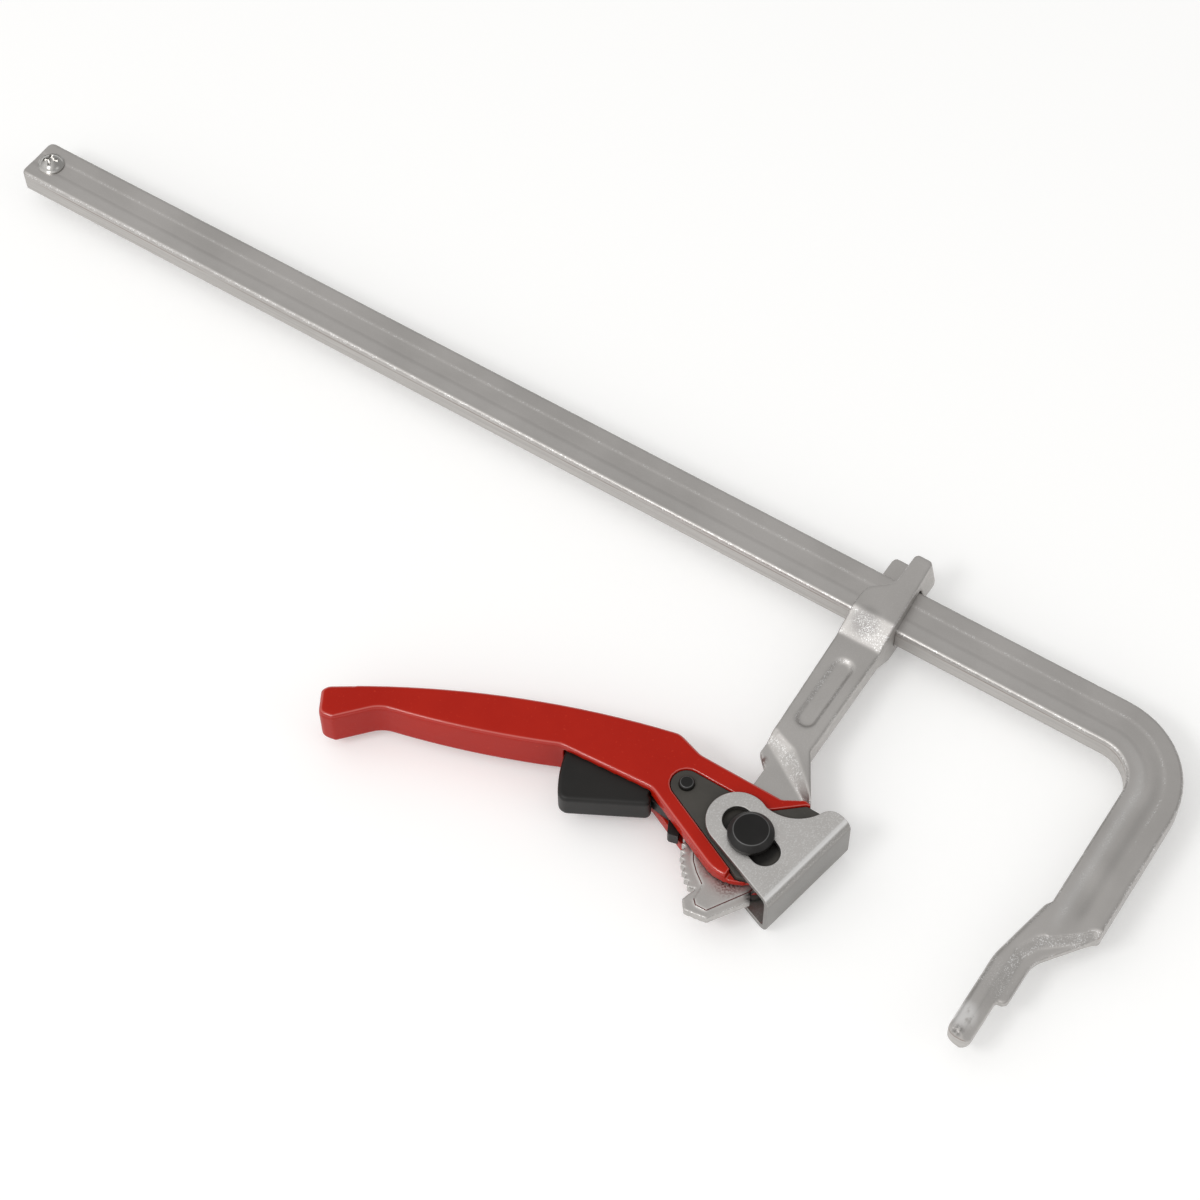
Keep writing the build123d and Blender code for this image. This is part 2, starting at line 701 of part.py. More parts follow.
# The trigger's top edge sets the roof of its slot
trigger_top_left = round_pawl_pin(trigger_radius, trigger_top_angle)
trigger_low_left = round_pawl_pin(trigger_radius, trigger_low_angle)
trigger_top_right = from_pawl_pin(-trigger_inner_reach, -trigger_inner_drop)
pulled_top_left = round_pawl_pin(trigger_radius, trigger_top_angle - trigger_pull_angle)
roof_y = pulled_top_left[1] + trigger_roof_gap
slot_radius = trigger_radius + trigger_end_clearance
slot_half = trigger_half + trigger_side_clearance
slot_right = from_pawl_pin(trigger_end_clearance - trigger_inner_reach, 0)[0]
roof_turn = 180 - degrees(asin((roof_y - pivot_rise - pawl_pin_rise) / slot_radius))
spring_x = from_pawl_pin(-spring_reach, 0)[0]
spring_bore = spring_diameter / 2 + spring_clearance
with BuildPart() as handle_body:
    with BuildSketch() as handle_outline:
        with BuildLine():
            Polyline(
                round_pivot(cheek_floor_radius, cheek_front_angle),
                cam_nose,
                (cam_nose[0] + rim_end_reach, cam_nose[1] + rim_end_rise),
                rim_tip_point,
                rim_corner,
                neck_top,
                grip_points[0],
            )
            ThreePointArc(*grip_points[:3])
            Polyline(*grip_points[2:7])
            ThreePointArc(*grip_points[6:9])
            Polyline(grip_points[8], neck_low, rim_low_end)
            ThreePointArc(rim_low_end, round_lip((low_angle - 90 + lip_angle) / 2), lip_end)
            Line(lip_end, round_pivot(cheek_floor_radius, floor_turn))
            ThreePointArc(
                round_pivot(cheek_floor_radius, floor_turn),
                round_pivot(cheek_floor_radius, (floor_turn + cheek_front_angle) / 2),
                round_pivot(cheek_floor_radius, cheek_front_angle),
            )
        make_face()
        neck_points = (neck_top, grip_points[0], grip_points[8], neck_low)
        fillet([corner(handle_outline, p) for p in neck_points], neck_round)
        fillet([corner(handle_outline, p) for p in grip_points[4:6]], grip_end_round)
        fillet([corner(handle_outline, p) for p in grip_points[2:4]], grip_tip_round)
        fillet(corner(handle_outline, grip_points[6]), grip_hook_round)
    extrude(amount=handle_half, both=True)
    rims = handle_body.faces().filter_by(Axis.Z).edges()
    fillet(rims.filter_by(lambda edge: edge.center().X < rim_low_end[0]), handle_edge_radius)
    # Recesses that take the cam plates
    for side in (1, -1):
        with BuildSketch(Plane.XY.offset(side * cam_inner)):
            with BuildLine():
                draw_cam_outline()
            make_face()
            offset(amount=cam_recess_clearance, kind=Kind.INTERSECTION)
        extrude(amount=side * handle_thickness, mode=Mode.SUBTRACT)
        with BuildSketch(Plane(origin=(pivot_x, pivot_rise, side * (cam_inner + lip_height)))):
            with Locations((rim_low, -rim_low)):
                Rectangle(2 * rim_low, 2 * rim_low)
        extrude(amount=side * handle_thickness, mode=Mode.SUBTRACT)
    # Fork slot for the tongue and the pawl
    crotch_x = from_pawl_pin(-pawl_hub_radius - crotch_clearance, 0)[0]
    with BuildSketch():
        with BuildLine():
            Polyline(
                (crotch_x, roof_y - handle_reach),
                (crotch_x, pivot_rise + pawl_pin_rise),
                from_pawl_pin(-pawl_hub_radius / 2, cheek_top),
                from_pivot(handle_reach / 2, cheek_top + pawl_pin_rise),
                from_pivot(handle_reach / 2, -handle_reach),
                close=True,
            )
        make_face()
        with BuildLine():
            Polyline(
                (slot_right - cut_over, roof_y - handle_reach),
                (slot_right - cut_over, roof_y),
                (slot_right, from_pawl_pin(0, pawl_hub_radius + crotch_clearance)[1]),
                (crotch_x + cut_over, from_pawl_pin(0, pawl_hub_radius + crotch_clearance)[1]),
                (crotch_x + cut_over, roof_y - handle_reach),
                close=True,
            )
        make_face()
    extrude(amount=fork_half, both=True, mode=Mode.SUBTRACT)
    # Slot for the trigger, open below
    with BuildSketch():
        with BuildLine():
            ThreePointArc(
                round_pawl_pin(slot_radius, roof_turn),
                round_pawl_pin(slot_radius, (roof_turn + trigger_low_angle) / 2),
                round_pawl_pin(slot_radius, trigger_low_angle),
            )
            Polyline(
                round_pawl_pin(slot_radius, trigger_low_angle),
                (slot_right, round_pawl_pin(slot_radius, trigger_low_angle)[1]),
                (slot_right, roof_y),
                round_pawl_pin(slot_radius, roof_turn),
            )
        make_face()
    extrude(amount=slot_half, both=True, mode=Mode.SUBTRACT)
    with BuildSketch(Plane(origin=(spring_x, roof_y, 0), x_dir=(1, 0, 0), z_dir=(0, 1, 0))):
        Circle(spring_bore)
    extrude(amount=spring_roof_depth, mode=Mode.SUBTRACT)
    with BuildSketch(pivot_plane):
        Circle(pivot_bore)
    extrude(amount=handle_thickness, both=True, mode=Mode.SUBTRACT)
    with BuildSketch(pawl_pin_plane):
        Circle(pawl_pin_diameter / 2)
    extrude(amount=handle_thickness, both=True, mode=Mode.SUBTRACT)
handle_body.part.label = "handle_body"
export_step(handle_body.part, "parts/handle_body.step")

# Pressure bracket, drawn across (n) and along (t) its web
web_turn = radians(web_tilt)
web_out = (cos(web_turn), sin(web_turn), 0)
web_up = (-sin(web_turn), cos(web_turn), 0)
slot_turn = radians(slot_tilt)
slot_start = (-slot_back * cos(slot_turn), -slot_back * sin(slot_turn))
slot_end = (slot_front * cos(slot_turn), slot_front * sin(slot_turn))
ear_low = (slot_start[0] + ear_radius * sin(slot_turn), slot_start[1] - ear_radius * cos(slot_turn))
web_low = ear_low[1] + (web_reach - ear_low[0]) * tan(slot_turn)
flange_back = slot_start[0] - ear_radius
flange_curve = [(web_top * u, web_top * v) for u, v in flange_curve_shares]
bracket_plane = Plane(origin=(pivot_x, pivot_rise, 0), x_dir=web_out, z_dir=(0, 0, 1))
with BuildPart() as pressure_bracket:
    channel_origin = (pivot_x + web_top * web_up[0], pivot_rise + web_top * web_up[1], 0)
    down = (-web_up[0], -web_up[1], 0)
    bend_centre = web_reach - bracket_bend_radius
    with BuildSketch(Plane(origin=channel_origin, x_dir=web_out, z_dir=down)):
        for inset, mode in ((0, Mode.ADD), (bracket_sheet, Mode.SUBTRACT)):
            face_half = bracket_half - inset
            bend_half = bracket_half - bracket_bend_radius
            bend_radius = bracket_bend_radius - inset
            bend_mid = bend_radius * sqrt(0.5)
            with BuildLine():
                Line((flange_back, face_half), (bend_centre, face_half))
                ThreePointArc(
                    (bend_centre, face_half),
                    (bend_centre + bend_mid, bend_half + bend_mid),
                    (bend_centre + bend_radius, bend_half),
                )
                Line((bend_centre + bend_radius, bend_half), (bend_centre + bend_radius, -bend_half))
                ThreePointArc(
                    (bend_centre + bend_radius, -bend_half),
                    (bend_centre + bend_mid, -bend_half - bend_mid),
                    (bend_centre, -face_half),
                )
                Polyline((bend_centre, -face_half), (flange_back, -face_half), (flange_back, face_half))
            make_face(mode=mode)
    extrude(amount=web_top - web_low)
    # Side outline: round ears behind, a curved top edge in front of them
    with BuildSketch(bracket_plane):
        with Locations(slot_start):
            Circle(ear_radius)
        with BuildLine():
            Polyline(
                slot_start,
                ear_low,
                (web_reach + cut_over, ear_low[1] + (web_reach + cut_over - ear_low[0]) * tan(slot_turn)),
                (web_reach + cut_over, web_top),
                flange_curve[4],
            )
            ThreePointArc(*flange_curve[4:1:-1])
            ThreePointArc(*flange_curve[2::-1])
            Line(flange_curve[0], slot_start)
        make_face()
    extrude(amount=2 * bracket_half, both=True, mode=Mode.INTERSECT)
    with BuildSketch(bracket_plane):
        with Locations(between(slot_start, slot_end)):
            SlotCenterToCenter(slot_back + slot_front, pivot_diameter + 2 * slot_clearance, rotation=slot_tilt)
    extrude(amount=2 * bracket_half, both=True, mode=Mode.SUBTRACT)
pressure_bracket.part.label = "pressure_bracket"
export_step(pressure_bracket.part, "parts/pressure_bracket.step")

# Pivot pin with its large upset head, and the cap riveted on its other end
pin_head_z = bracket_half + pivot_head_gap
pin_end_z = -(pin_head_z + pivot_cap_height)
with BuildPart() as pivot_pin:
    with BuildSketch(Plane(origin=(pivot_x, pivot_rise, pin_end_z))):
        Circle(pivot_radius)
    extrude(amount=pin_head_z - pin_end_z)
    with BuildSketch(Plane(origin=(pivot_x, pivot_rise, pin_head_z))):
        Circle(pivot_head_diameter / 2)
    extrude(amount=pivot_head_height)
    chamfer(pivot_pin.faces().sort_by(Axis.Z)[-1].edges(), pivot_head_chamfer)
pivot_pin.part.label = "pivot_pin"
export_step(pivot_pin.part, "parts/pivot_pin.step")

with BuildPart() as pivot_pin_cap:
    with BuildSketch(Plane(origin=(pivot_x, pivot_rise, -pin_head_z))):
        Circle(pivot_head_diameter / 2)
        Circle(pivot_radius, mode=Mode.SUBTRACT)
    extrude(amount=-pivot_cap_height)
    chamfer(pivot_pin_cap.faces().sort_by(Axis.Z)[0].outer_wire().edges(), pivot_cap_chamfer)
pivot_pin_cap.part.label = "pivot_pin_cap"
export_step(pivot_pin_cap.part, "parts/pivot_pin_cap.step")

# Pawl pin through the cheeks and cam plates
pawl_pin_half = cam_outer + pawl_pin_stand
with BuildPart() as pawl_pin:
    with BuildSketch(pawl_pin_plane):
        Circle(pawl_pin_diameter / 2)
    extrude(amount=pawl_pin_half, both=True)
    chamfer(pawl_pin.faces().filter_by(Axis.Z).edges(), pawl_pin_chamfer)
pawl_pin.part.label = "pawl_pin"
export_step(pawl_pin.part, "parts/pawl_pin.step")

# Pawl: hub, a nose held just off the teeth, and a tail riveted into the trigger
nose_radius = tooth_tip_radius + pawl_nose_gap
nose_point = round_pivot(nose_radius, pawl_nose_angle)
pawl_back = from_pawl_pin(-pawl_hub_radius, 0)
pawl_heel = (nose_point[0] - pawl_heel_reach, nose_point[1] - pawl_heel_drop)
tail_low = -rivet_drop - pawl_tail_width / 2
tail_high = -rivet_drop + pawl_tail_width / 2
with BuildPart() as pawl:
    with BuildSketch(pawl_pin_plane):
        Circle(pawl_hub_radius)
    extrude(amount=pawl_half, both=True)
    with BuildSketch():
        with BuildLine():
            ThreePointArc(
                nose_point,
                round_pivot(nose_radius, (pawl_nose_angle + 180) / 2),
                round_pivot(nose_radius, 180),
            )
            Polyline(
                round_pivot(nose_radius, 180),
                from_pawl_pin(pawl_hub_radius / 2, -pawl_hub_radius / 2),
                pawl_back,
                pawl_heel,
                nose_point,
            )
        make_face()
        with BuildLine():
            Polyline(
                from_pawl_pin(0, -pawl_hub_radius),
                from_pawl_pin(-pawl_hub_radius, 0),
                from_pawl_pin(-trigger_inner_reach, tail_high),
                from_pawl_pin(-pawl_tail_reach, tail_high),
                from_pawl_pin(-pawl_tail_reach, tail_low),
                from_pawl_pin(-trigger_inner_reach, tail_low),
                from_pawl_pin(0, -2 * pawl_hub_radius),
                close=True,
            )
        make_face()
    extrude(amount=pawl_half, both=True)
    heel_edge = pawl.edges().filter_by(Axis.Z).sort_by_distance(Vector(*pawl_heel))[0]
    fillet(heel_edge, pawl_heel_radius)
    with BuildSketch(pawl_pin_plane):
        Circle(pawl_pin_diameter / 2 + pivot_run_clearance)
    extrude(amount=handle_thickness, both=True, mode=Mode.SUBTRACT)
    rivet_first = from_pawl_pin(-rivet_inset, -rivet_drop)
    with BuildSketch(Plane(origin=(*rivet_first, 0))):
        with Locations((0, 0), (-rivet_spacing, 0)):
            Circle(rivet_diameter / 2)
    extrude(amount=handle_thickness, both=True, mode=Mode.SUBTRACT)
pawl.part.label = "pawl"
export_step(pawl.part, "parts/pawl.step")

# Trigger grip: moulded shell over the pawl's tail
trigger_front = from_pawl_pin(-trigger_front_reach, -trigger_front_drop)
trigger_step = from_pawl_pin(-trigger_inner_reach, trigger_front_rise - trigger_front_drop)
with BuildPart() as trigger_grip:
    with BuildSketch() as trigger_outline:
        with BuildLine():
            ThreePointArc(
                trigger_top_left,
                round_pawl_pin(trigger_radius, (trigger_top_angle + trigger_low_angle) / 2),
                trigger_low_left,
            )
            Polyline(trigger_low_left, trigger_front, trigger_step, trigger_top_right, trigger_top_left)
        make_face()
        fillet(corner(trigger_outline, trigger_low_left), trigger_corner_radius)
        fillet(corner(trigger_outline, trigger_front), trigger_front_radius)
    extrude(amount=trigger_half, both=True)
    low_edges = trigger_grip.faces().filter_by(Axis.Z).edges()
    fillet(low_edges.filter_by(lambda edge: edge.center().Y < trigger_front[1]), trigger_edge_radius)
    # Seat of the spring and slot of the tail
    seat_y = roof_y + spring_roof_depth - spring_length
    with BuildSketch(Plane(origin=(spring_x, seat_y, 0), x_dir=(1, 0, 0), z_dir=(0, 1, 0))):
        Circle(spring_bore)
    extrude(amount=handle_reach / 2, mode=Mode.SUBTRACT)
    with BuildSketch():
        with BuildLine():
            Polyline(
                from_pawl_pin(-pawl_tail_reach, tail_high),
                from_pawl_pin(-pawl_tail_reach, tail_low),
                from_pawl_pin(-trigger_inner_reach, tail_low),
                from_pawl_pin(0, -2 * pawl_hub_radius),
                from_pawl_pin(0, tail_high),
                close=True,
            )
        make_face()
    extrude(amount=pawl_half, both=True, mode=Mode.SUBTRACT)
    with BuildSketch(Plane(origin=(*rivet_first, 0))):
        with Locations((0, 0), (-rivet_spacing, 0)):
            Circle(rivet_diameter / 2)
    extrude(amount=handle_thickness, both=True, mode=Mode.SUBTRACT)
trigger_grip.part.label = "trigger_grip"
export_step(trigger_grip.part, "parts/trigger_grip.step")

# The two rivets, one node
with BuildPart() as trigger_rivets:
    with BuildSketch(Plane(origin=(*rivet_first, 0))):
        with Locations((0, 0), (-rivet_spacing, 0)):
            Circle(rivet_diameter / 2)
    extrude(amount=trigger_half, both=True)
trigger_rivets.part.label = "trigger_rivets"
export_step(trigger_rivets.part, "parts/trigger_rivets.step")

# Return spring between the trigger and the lever
spring_radius = (spring_diameter - spring_wire) / 2
spring_rise = spring_length - spring_wire
spring_steps = 4 * spring_turns


def spring_point(step):
    turn = radians(90 * step)
    return (
        spring_x + spring_radius * cos(turn),
        seat_y + spring_wire / 2 + spring_rise * step / spring_steps,
        spring_radius * sin(turn),
    )


with BuildPart() as pawl_spring:
    with BuildLine() as spring_line:
        for step in range(spring_steps):
            ThreePointArc(spring_point(step), spring_point(step + 0.5), spring_point(step + 1))
    with BuildSketch(Plane(origin=spring_point(0), z_dir=spring_line.edges()[0] % 0)):
        Circle(spring_wire / 2)
    sweep()
pawl_spring.part.label = "pawl_spring"
export_step(pawl_spring.part, "parts/pawl_spring.step")
least_gap = spring_rise / spring_turns - spring_wire
print("spring: least gap between turns", round(least_gap, 2), "mm at rest")
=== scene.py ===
from math import radians

import bmesh
import bpy
from mathutils import Matrix, Vector


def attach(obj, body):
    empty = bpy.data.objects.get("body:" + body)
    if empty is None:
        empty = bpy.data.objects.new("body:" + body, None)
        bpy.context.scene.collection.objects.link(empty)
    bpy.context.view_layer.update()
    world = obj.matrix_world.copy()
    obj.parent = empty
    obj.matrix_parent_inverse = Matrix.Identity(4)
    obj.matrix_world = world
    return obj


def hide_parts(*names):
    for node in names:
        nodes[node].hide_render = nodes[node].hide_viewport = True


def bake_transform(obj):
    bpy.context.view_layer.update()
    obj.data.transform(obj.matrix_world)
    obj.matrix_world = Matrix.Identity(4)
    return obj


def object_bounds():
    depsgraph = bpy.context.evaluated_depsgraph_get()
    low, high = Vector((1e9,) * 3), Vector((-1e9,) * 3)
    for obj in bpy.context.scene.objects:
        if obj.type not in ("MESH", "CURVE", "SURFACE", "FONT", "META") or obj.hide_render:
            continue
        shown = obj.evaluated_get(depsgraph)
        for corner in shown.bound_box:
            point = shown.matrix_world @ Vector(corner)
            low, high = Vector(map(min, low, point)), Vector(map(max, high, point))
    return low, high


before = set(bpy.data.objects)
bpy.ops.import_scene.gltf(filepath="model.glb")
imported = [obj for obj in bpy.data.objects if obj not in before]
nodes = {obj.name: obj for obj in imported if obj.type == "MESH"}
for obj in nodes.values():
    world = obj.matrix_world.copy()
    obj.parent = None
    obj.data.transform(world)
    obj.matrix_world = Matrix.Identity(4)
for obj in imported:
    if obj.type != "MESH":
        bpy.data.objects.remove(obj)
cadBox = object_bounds()
print("frame loaded:", len(nodes), "nodes")


# small helpers for node trees

def newMaterial(name):
    mat = bpy.data.materials.new(name)
    mat.use_nodes = True
    mat.node_tree.nodes.clear()
    return mat, mat.node_tree


def addNode(tree, kind, settings=None, **inputs):
    node = tree.nodes.new(kind)
    for key, value in (settings or {}).items():
        setattr(node, key, value)
    for key, value in inputs.items():
        node.inputs[key.replace("_", " ")].default_value = value
    return node


def plug(tree, value, socket):
    # a number or colour is set on the socket, anything else is linked to it
    if isinstance(value, (int, float, tuple)):
        socket.default_value = value
    else:
        tree.links.new(value, socket)


def mathNode(tree, operation, first, second=None, clamp=False):
    node = addNode(tree, "ShaderNodeMath", {"operation": operation, "use_clamp": clamp})
    plug(tree, first, node.inputs[0])
    if second is not None:
        plug(tree, second, node.inputs[1])
    return node.outputs[0]


def times(tree, first, *factors):
    for factor in factors:
        first = mathNode(tree, "MULTIPLY", first, factor)
    return first


def vectorNode(tree, operation, first, second, output):
    node = addNode(tree, "ShaderNodeVectorMath", {"operation": operation})
    plug(tree, first, node.inputs[0])
    if second is not None:
        plug(tree, second, node.inputs[1])
    return node.outputs[output]


def splitVector(tree, vector):
    parts = addNode(tree, "ShaderNodeSeparateXYZ")
    tree.links.new(vector, parts.inputs[0])
    return parts.outputs


def spread(tree, value, low, high, toLow=0.0, toHigh=1.0):
    node = addNode(tree, "ShaderNodeMapRange", {"interpolation_type": "SMOOTHSTEP"})
    tree.links.new(value, node.inputs["Value"])
    for key, number in zip(("From Min", "From Max", "To Min", "To Max"), (low, high, toLow, toHigh)):
        node.inputs[key].default_value = number
    return node.outputs["Result"]


def mixColour(tree, factor, first, second):
    node = addNode(tree, "ShaderNodeMix", {"data_type": "RGBA"})
    for slot, value in ((0, factor), (6, first), (7, second)):   # the factor and both colours
        plug(tree, value, node.inputs[slot])
    return node.outputs[2]


def noiseAt(tree, vector, scale, detail, rough=0.55):
    node = addNode(tree, "ShaderNodeTexNoise", None, Scale=scale, Detail=detail, Roughness=rough)
    tree.links.new(vector, node.inputs["Vector"])
    return node.outputs["Fac"]


def stretched(tree, vector, scale):
    node = addNode(tree, "ShaderNodeMapping", None, Scale=scale)
    tree.links.new(vector, node.inputs["Vector"])
    return node.outputs["Vector"]


def groupWith(name, inputs, outputs):
    group = bpy.data.node_groups.new(name, "ShaderNodeTree")
    for label, kind, value in inputs:
        socket = group.interface.new_socket(name=label, in_out="INPUT", socket_type=kind)
        if value is not None:
            socket.default_value = value
    for label in outputs:
        group.interface.new_socket(name=label, in_out="OUTPUT", socket_type="NodeSocketFloat")
    return group, group.nodes.new("NodeGroupInput"), group.nodes.new("NodeGroupOutput")


def placeGroup(tree, group, vector=None, **values):
    node = addNode(tree, "ShaderNodeGroup", {"node_tree": group})
    if vector is not None:
        tree.links.new(vector, node.inputs["Vector"])
    for key, value in values.items():
        node.inputs[key].default_value = value
    return node


# shared effects

grainValues = dict(size=2000.0, sparkle=0.5, detail=2.0, rough=0.6, picked=(0.58, 0.85), lift=0.6)
slopeLimits = dict(   # by how far a surface faces up or down: 1 on a flat, 0 on a wall
    flat=(0.985, 0.9), side=(0.12, 0.4), wall=(0.5, 0.15), leanHigh=(0.99, 0.93), leanLow=(0.7, 0.86),
)


def makeGrainGroup(values):
    # fine blasted grain as on plated forgings, with single grains picked out for painted glints
    group, gin, gout = groupWith("metalGrain", (
        ("Vector", "NodeSocketVector", None),
        ("Size", "NodeSocketFloat", values["size"]),
        ("Sparkle", "NodeSocketFloat", values["sparkle"]),
    ), ("Grain", "Glint"))
    fine = addNode(group, "ShaderNodeTexNoise", None, Detail=values["detail"], Roughness=values["rough"])
    cells = addNode(group, "ShaderNodeTexVoronoi", {"feature": "F1"})
    for texture in (fine, cells):
        group.links.new(gin.outputs["Vector"], texture.inputs["Vector"])
        group.links.new(gin.outputs["Size"], texture.inputs["Scale"])
    picked = spread(group, cells.outputs["Color"], *values["picked"])
    glint = mathNode(group, "MULTIPLY", picked, gin.outputs["Sparkle"], True)
    bumpy = mathNode(group, "ADD", fine.outputs["Fac"], times(group, glint, values["lift"]))
    group.links.new(bumpy, gout.inputs["Grain"])
    group.links.new(glint, gout.inputs["Glint"])
    return group


def makeSlopeGroup(limits):
    # Slope is 1 on slanted and rounded places, Side is 1 on upright walls, Lean is 1 high on a bend
    group, _, gout = groupWith("slopeMask", (), ("Slope", "Side", "Lean"))
    facing = addNode(group, "ShaderNodeNewGeometry").outputs["Normal"]
    upright = mathNode(group, "ABSOLUTE", splitVector(group, facing)["Z"])
    masks = {key: spread(group, upright, *limit) for key, limit in limits.items()}
    group.links.new(times(group, masks["flat"], masks["side"]), gout.inputs["Slope"])
    group.links.new(masks["wall"], gout.inputs["Side"])
    group.links.new(times(group, masks["leanHigh"], masks["leanLow"]), gout.inputs["Lean"])
    return group


grainGroup = makeGrainGroup(grainValues)
slopeGroup = makeSlopeGroup(slopeLimits)
print("node groups made")


def startShader(name, **inputs):
    mat, tree = newMaterial(name)
    coords = addNode(tree, "ShaderNodeTexCoord").outputs["Object"]
    shader = addNode(tree, "ShaderNodeBsdfPrincipled", None, **inputs)
    tree.links.new(shader.outputs[0], addNode(tree, "ShaderNodeOutputMaterial").inputs["Surface"])
    return mat, tree, coords, shader


def addBump(tree, shader, height, look):
    bump = addNode(tree, "ShaderNodeBump", None, Strength=look["bump"], Distance=look["bumpHeight"])
    tree.links.new(height, bump.inputs["Height"])
    tree.links.new(bump.outputs[0], shader.inputs["Normal"])


# steel

bar = dict(bendCentre=(-0.008, 0.104), bendRadius=0.027)   # middle line of the bent rail
steelNoise = dict(
    cloudDetail=4.0, streakDetail=5.0, streakRough=0.65, patchDetail=2.0, spotDetail=3.0,
    cloud=(0.3, 0.7), streak=(0.42, 0.62), patch=(0.38, 0.6), seam=(0.3, 0.6), spotEdge=0.1,
)


def outFromBend(tree, coords):
    # distance from the bend's centre, measured square to the bar along both straight arms
    out = vectorNode(tree, "SUBTRACT", coords, (*bar["bendCentre"], 0.0), "Vector")
    out = vectorNode(tree, "MAXIMUM", out, (0.0, 0.0, 0.0), "Vector")
    out = vectorNode(tree, "MULTIPLY", out, (1.0, 1.0, 0.0), "Vector")
    return vectorNode(tree, "LENGTH", out, None, "Value")


def steelMaterial(name, look):
    mat, tree, coords, shader = startShader(name, Metallic=1.0)
    place = splitVector(tree, coords)
    cloud = noiseAt(tree, coords, look["cloudScale"], steelNoise["cloudDetail"])
    along = stretched(tree, coords, look["streakStretch"])
    streak = noiseAt(tree, along, 1.0, steelNoise["streakDetail"], steelNoise["streakRough"])
    patch = noiseAt(tree, coords, look["patchScale"], steelNoise["patchDetail"])
    patch = spread(tree, patch, *steelNoise["patch"], look["patchLow"], 1.0)
    grain = placeGroup(tree, grainGroup, coords, Size=look["grainScale"], Sparkle=look["sparkle"])
    mask = placeGroup(tree, slopeGroup)
    slope, side, lean = (mask.outputs[label] for label in ("Slope", "Side", "Lean"))

    # where single grains get painted glints: on slopes, and in bands along the bent bar but not near the jaw's toe
    onSlope = times(tree, slope, patch)
    paintedBandTones = []
    if look["bands"]:
        far = outFromBend(tree, coords)
        onSlope = times(tree, onSlope, spread(tree, place["Y"], *look["toe"]))
        for band in look["bands"]:
            off = mathNode(tree, "SUBTRACT", far, bar["bendRadius"] + band["at"])
            lit = spread(tree, mathNode(tree, "ABSOLUTE", off), band["half"], 0.0)
            for ends in band["ends"]:
                lit = times(tree, lit, spread(tree, place["Y"], *ends))
            onSlope = mathNode(tree, "MAXIMUM", onSlope, times(tree, lit, band["grains"], patch))
            paintedBandTones.append((times(tree, lit, band["paintedTone"]), band["colour"]))
    shining = spread(tree, onSlope, 0.0, 1.0, look["flatGlint"], look["slopeGlint"])
    glint = times(tree, grain.outputs["Glint"], shining, spread(tree, side, 0.0, 1.0, 1.0, look["sideGlint"]))

    # colour, from the ground tone through painted shade and sheen, stains and painted light spots, up to the
    # painted glints of single grains
    tone = mixColour(tree, spread(tree, cloud, *steelNoise["cloud"]), look["dark"], look["light"])
    # painted sheen and painted shade in bands along the fixed arm
    for share, colour in paintedBandTones:
        tone = mixColour(tree, share, tone, colour)
    # upright walls darkened as painted shade
    tone = mixColour(tree, times(tree, side, look["sideShade"]), tone, look["sideColour"])
    lines = times(tree, spread(tree, streak, *steelNoise["streak"], 0.0, look["streak"]), side)
    tone = mixColour(tree, lines, tone, look["streakColour"])
    # slanted and rounded faces darkened as painted shade
    tone = mixColour(tree, times(tree, slope, look["slopeShade"]), tone, look["slopeColour"])
    # the high part of a bend lightened as a painted sheen
    tone = mixColour(tree, times(tree, lean, look["leanSheen"]), tone, look["leanSheenColour"])
    # real stains, and spots of painted highlight and painted shade
    for stainOrLightSpot in look["stainsAndLightSpots"]:
        away = vectorNode(tree, "DISTANCE", coords, stainOrLightSpot["at"], "Value")
        spotShare = spread(tree, away, stainOrLightSpot["far"], stainOrLightSpot["near"], 0.0, stainOrLightSpot["amount"])
        patchy = noiseAt(tree, coords, stainOrLightSpot["scale"], steelNoise["spotDetail"])
        edge = steelNoise["spotEdge"]
        patchy = spread(tree, patchy, stainOrLightSpot["fill"] - edge, stainOrLightSpot["fill"] + edge)
        tone = mixColour(tree, times(tree, spotShare, patchy), tone, stainOrLightSpot["colour"])
    if look["seam"]:
        seam = look["seam"]
        off = mathNode(tree, "ABSOLUTE", mathNode(tree, "SUBTRACT", place["Z"], seam["height"]))
        thin = spread(tree, off, seam["half"], 0.0, 0.0, seam["amount"])
        thin = times(tree, thin, spread(tree, cloud, *steelNoise["seam"]), side)
        tone = mixColour(tree, thin, tone, seam["colour"])
    tone = mixColour(tree, glint, tone, look["glintColour"])
    tree.links.new(tone, shader.inputs["Base Color"])

    rough = spread(tree, cloud, *steelNoise["cloud"], *look["rough"])
    rough = mathNode(tree, "SUBTRACT", rough, times(tree, glint, look["glintShine"]), True)
    tree.links.new(rough, shader.inputs["Roughness"])
    grainy = times(tree, grain.outputs["Grain"], spread(tree, slope, 0.0, 1.0, look["flatGrain"], 1.0))
    addBump(tree, shader, mathNode(tree, "ADD", grainy, times(tree, lines, look["streakBump"])), look)
    return mat


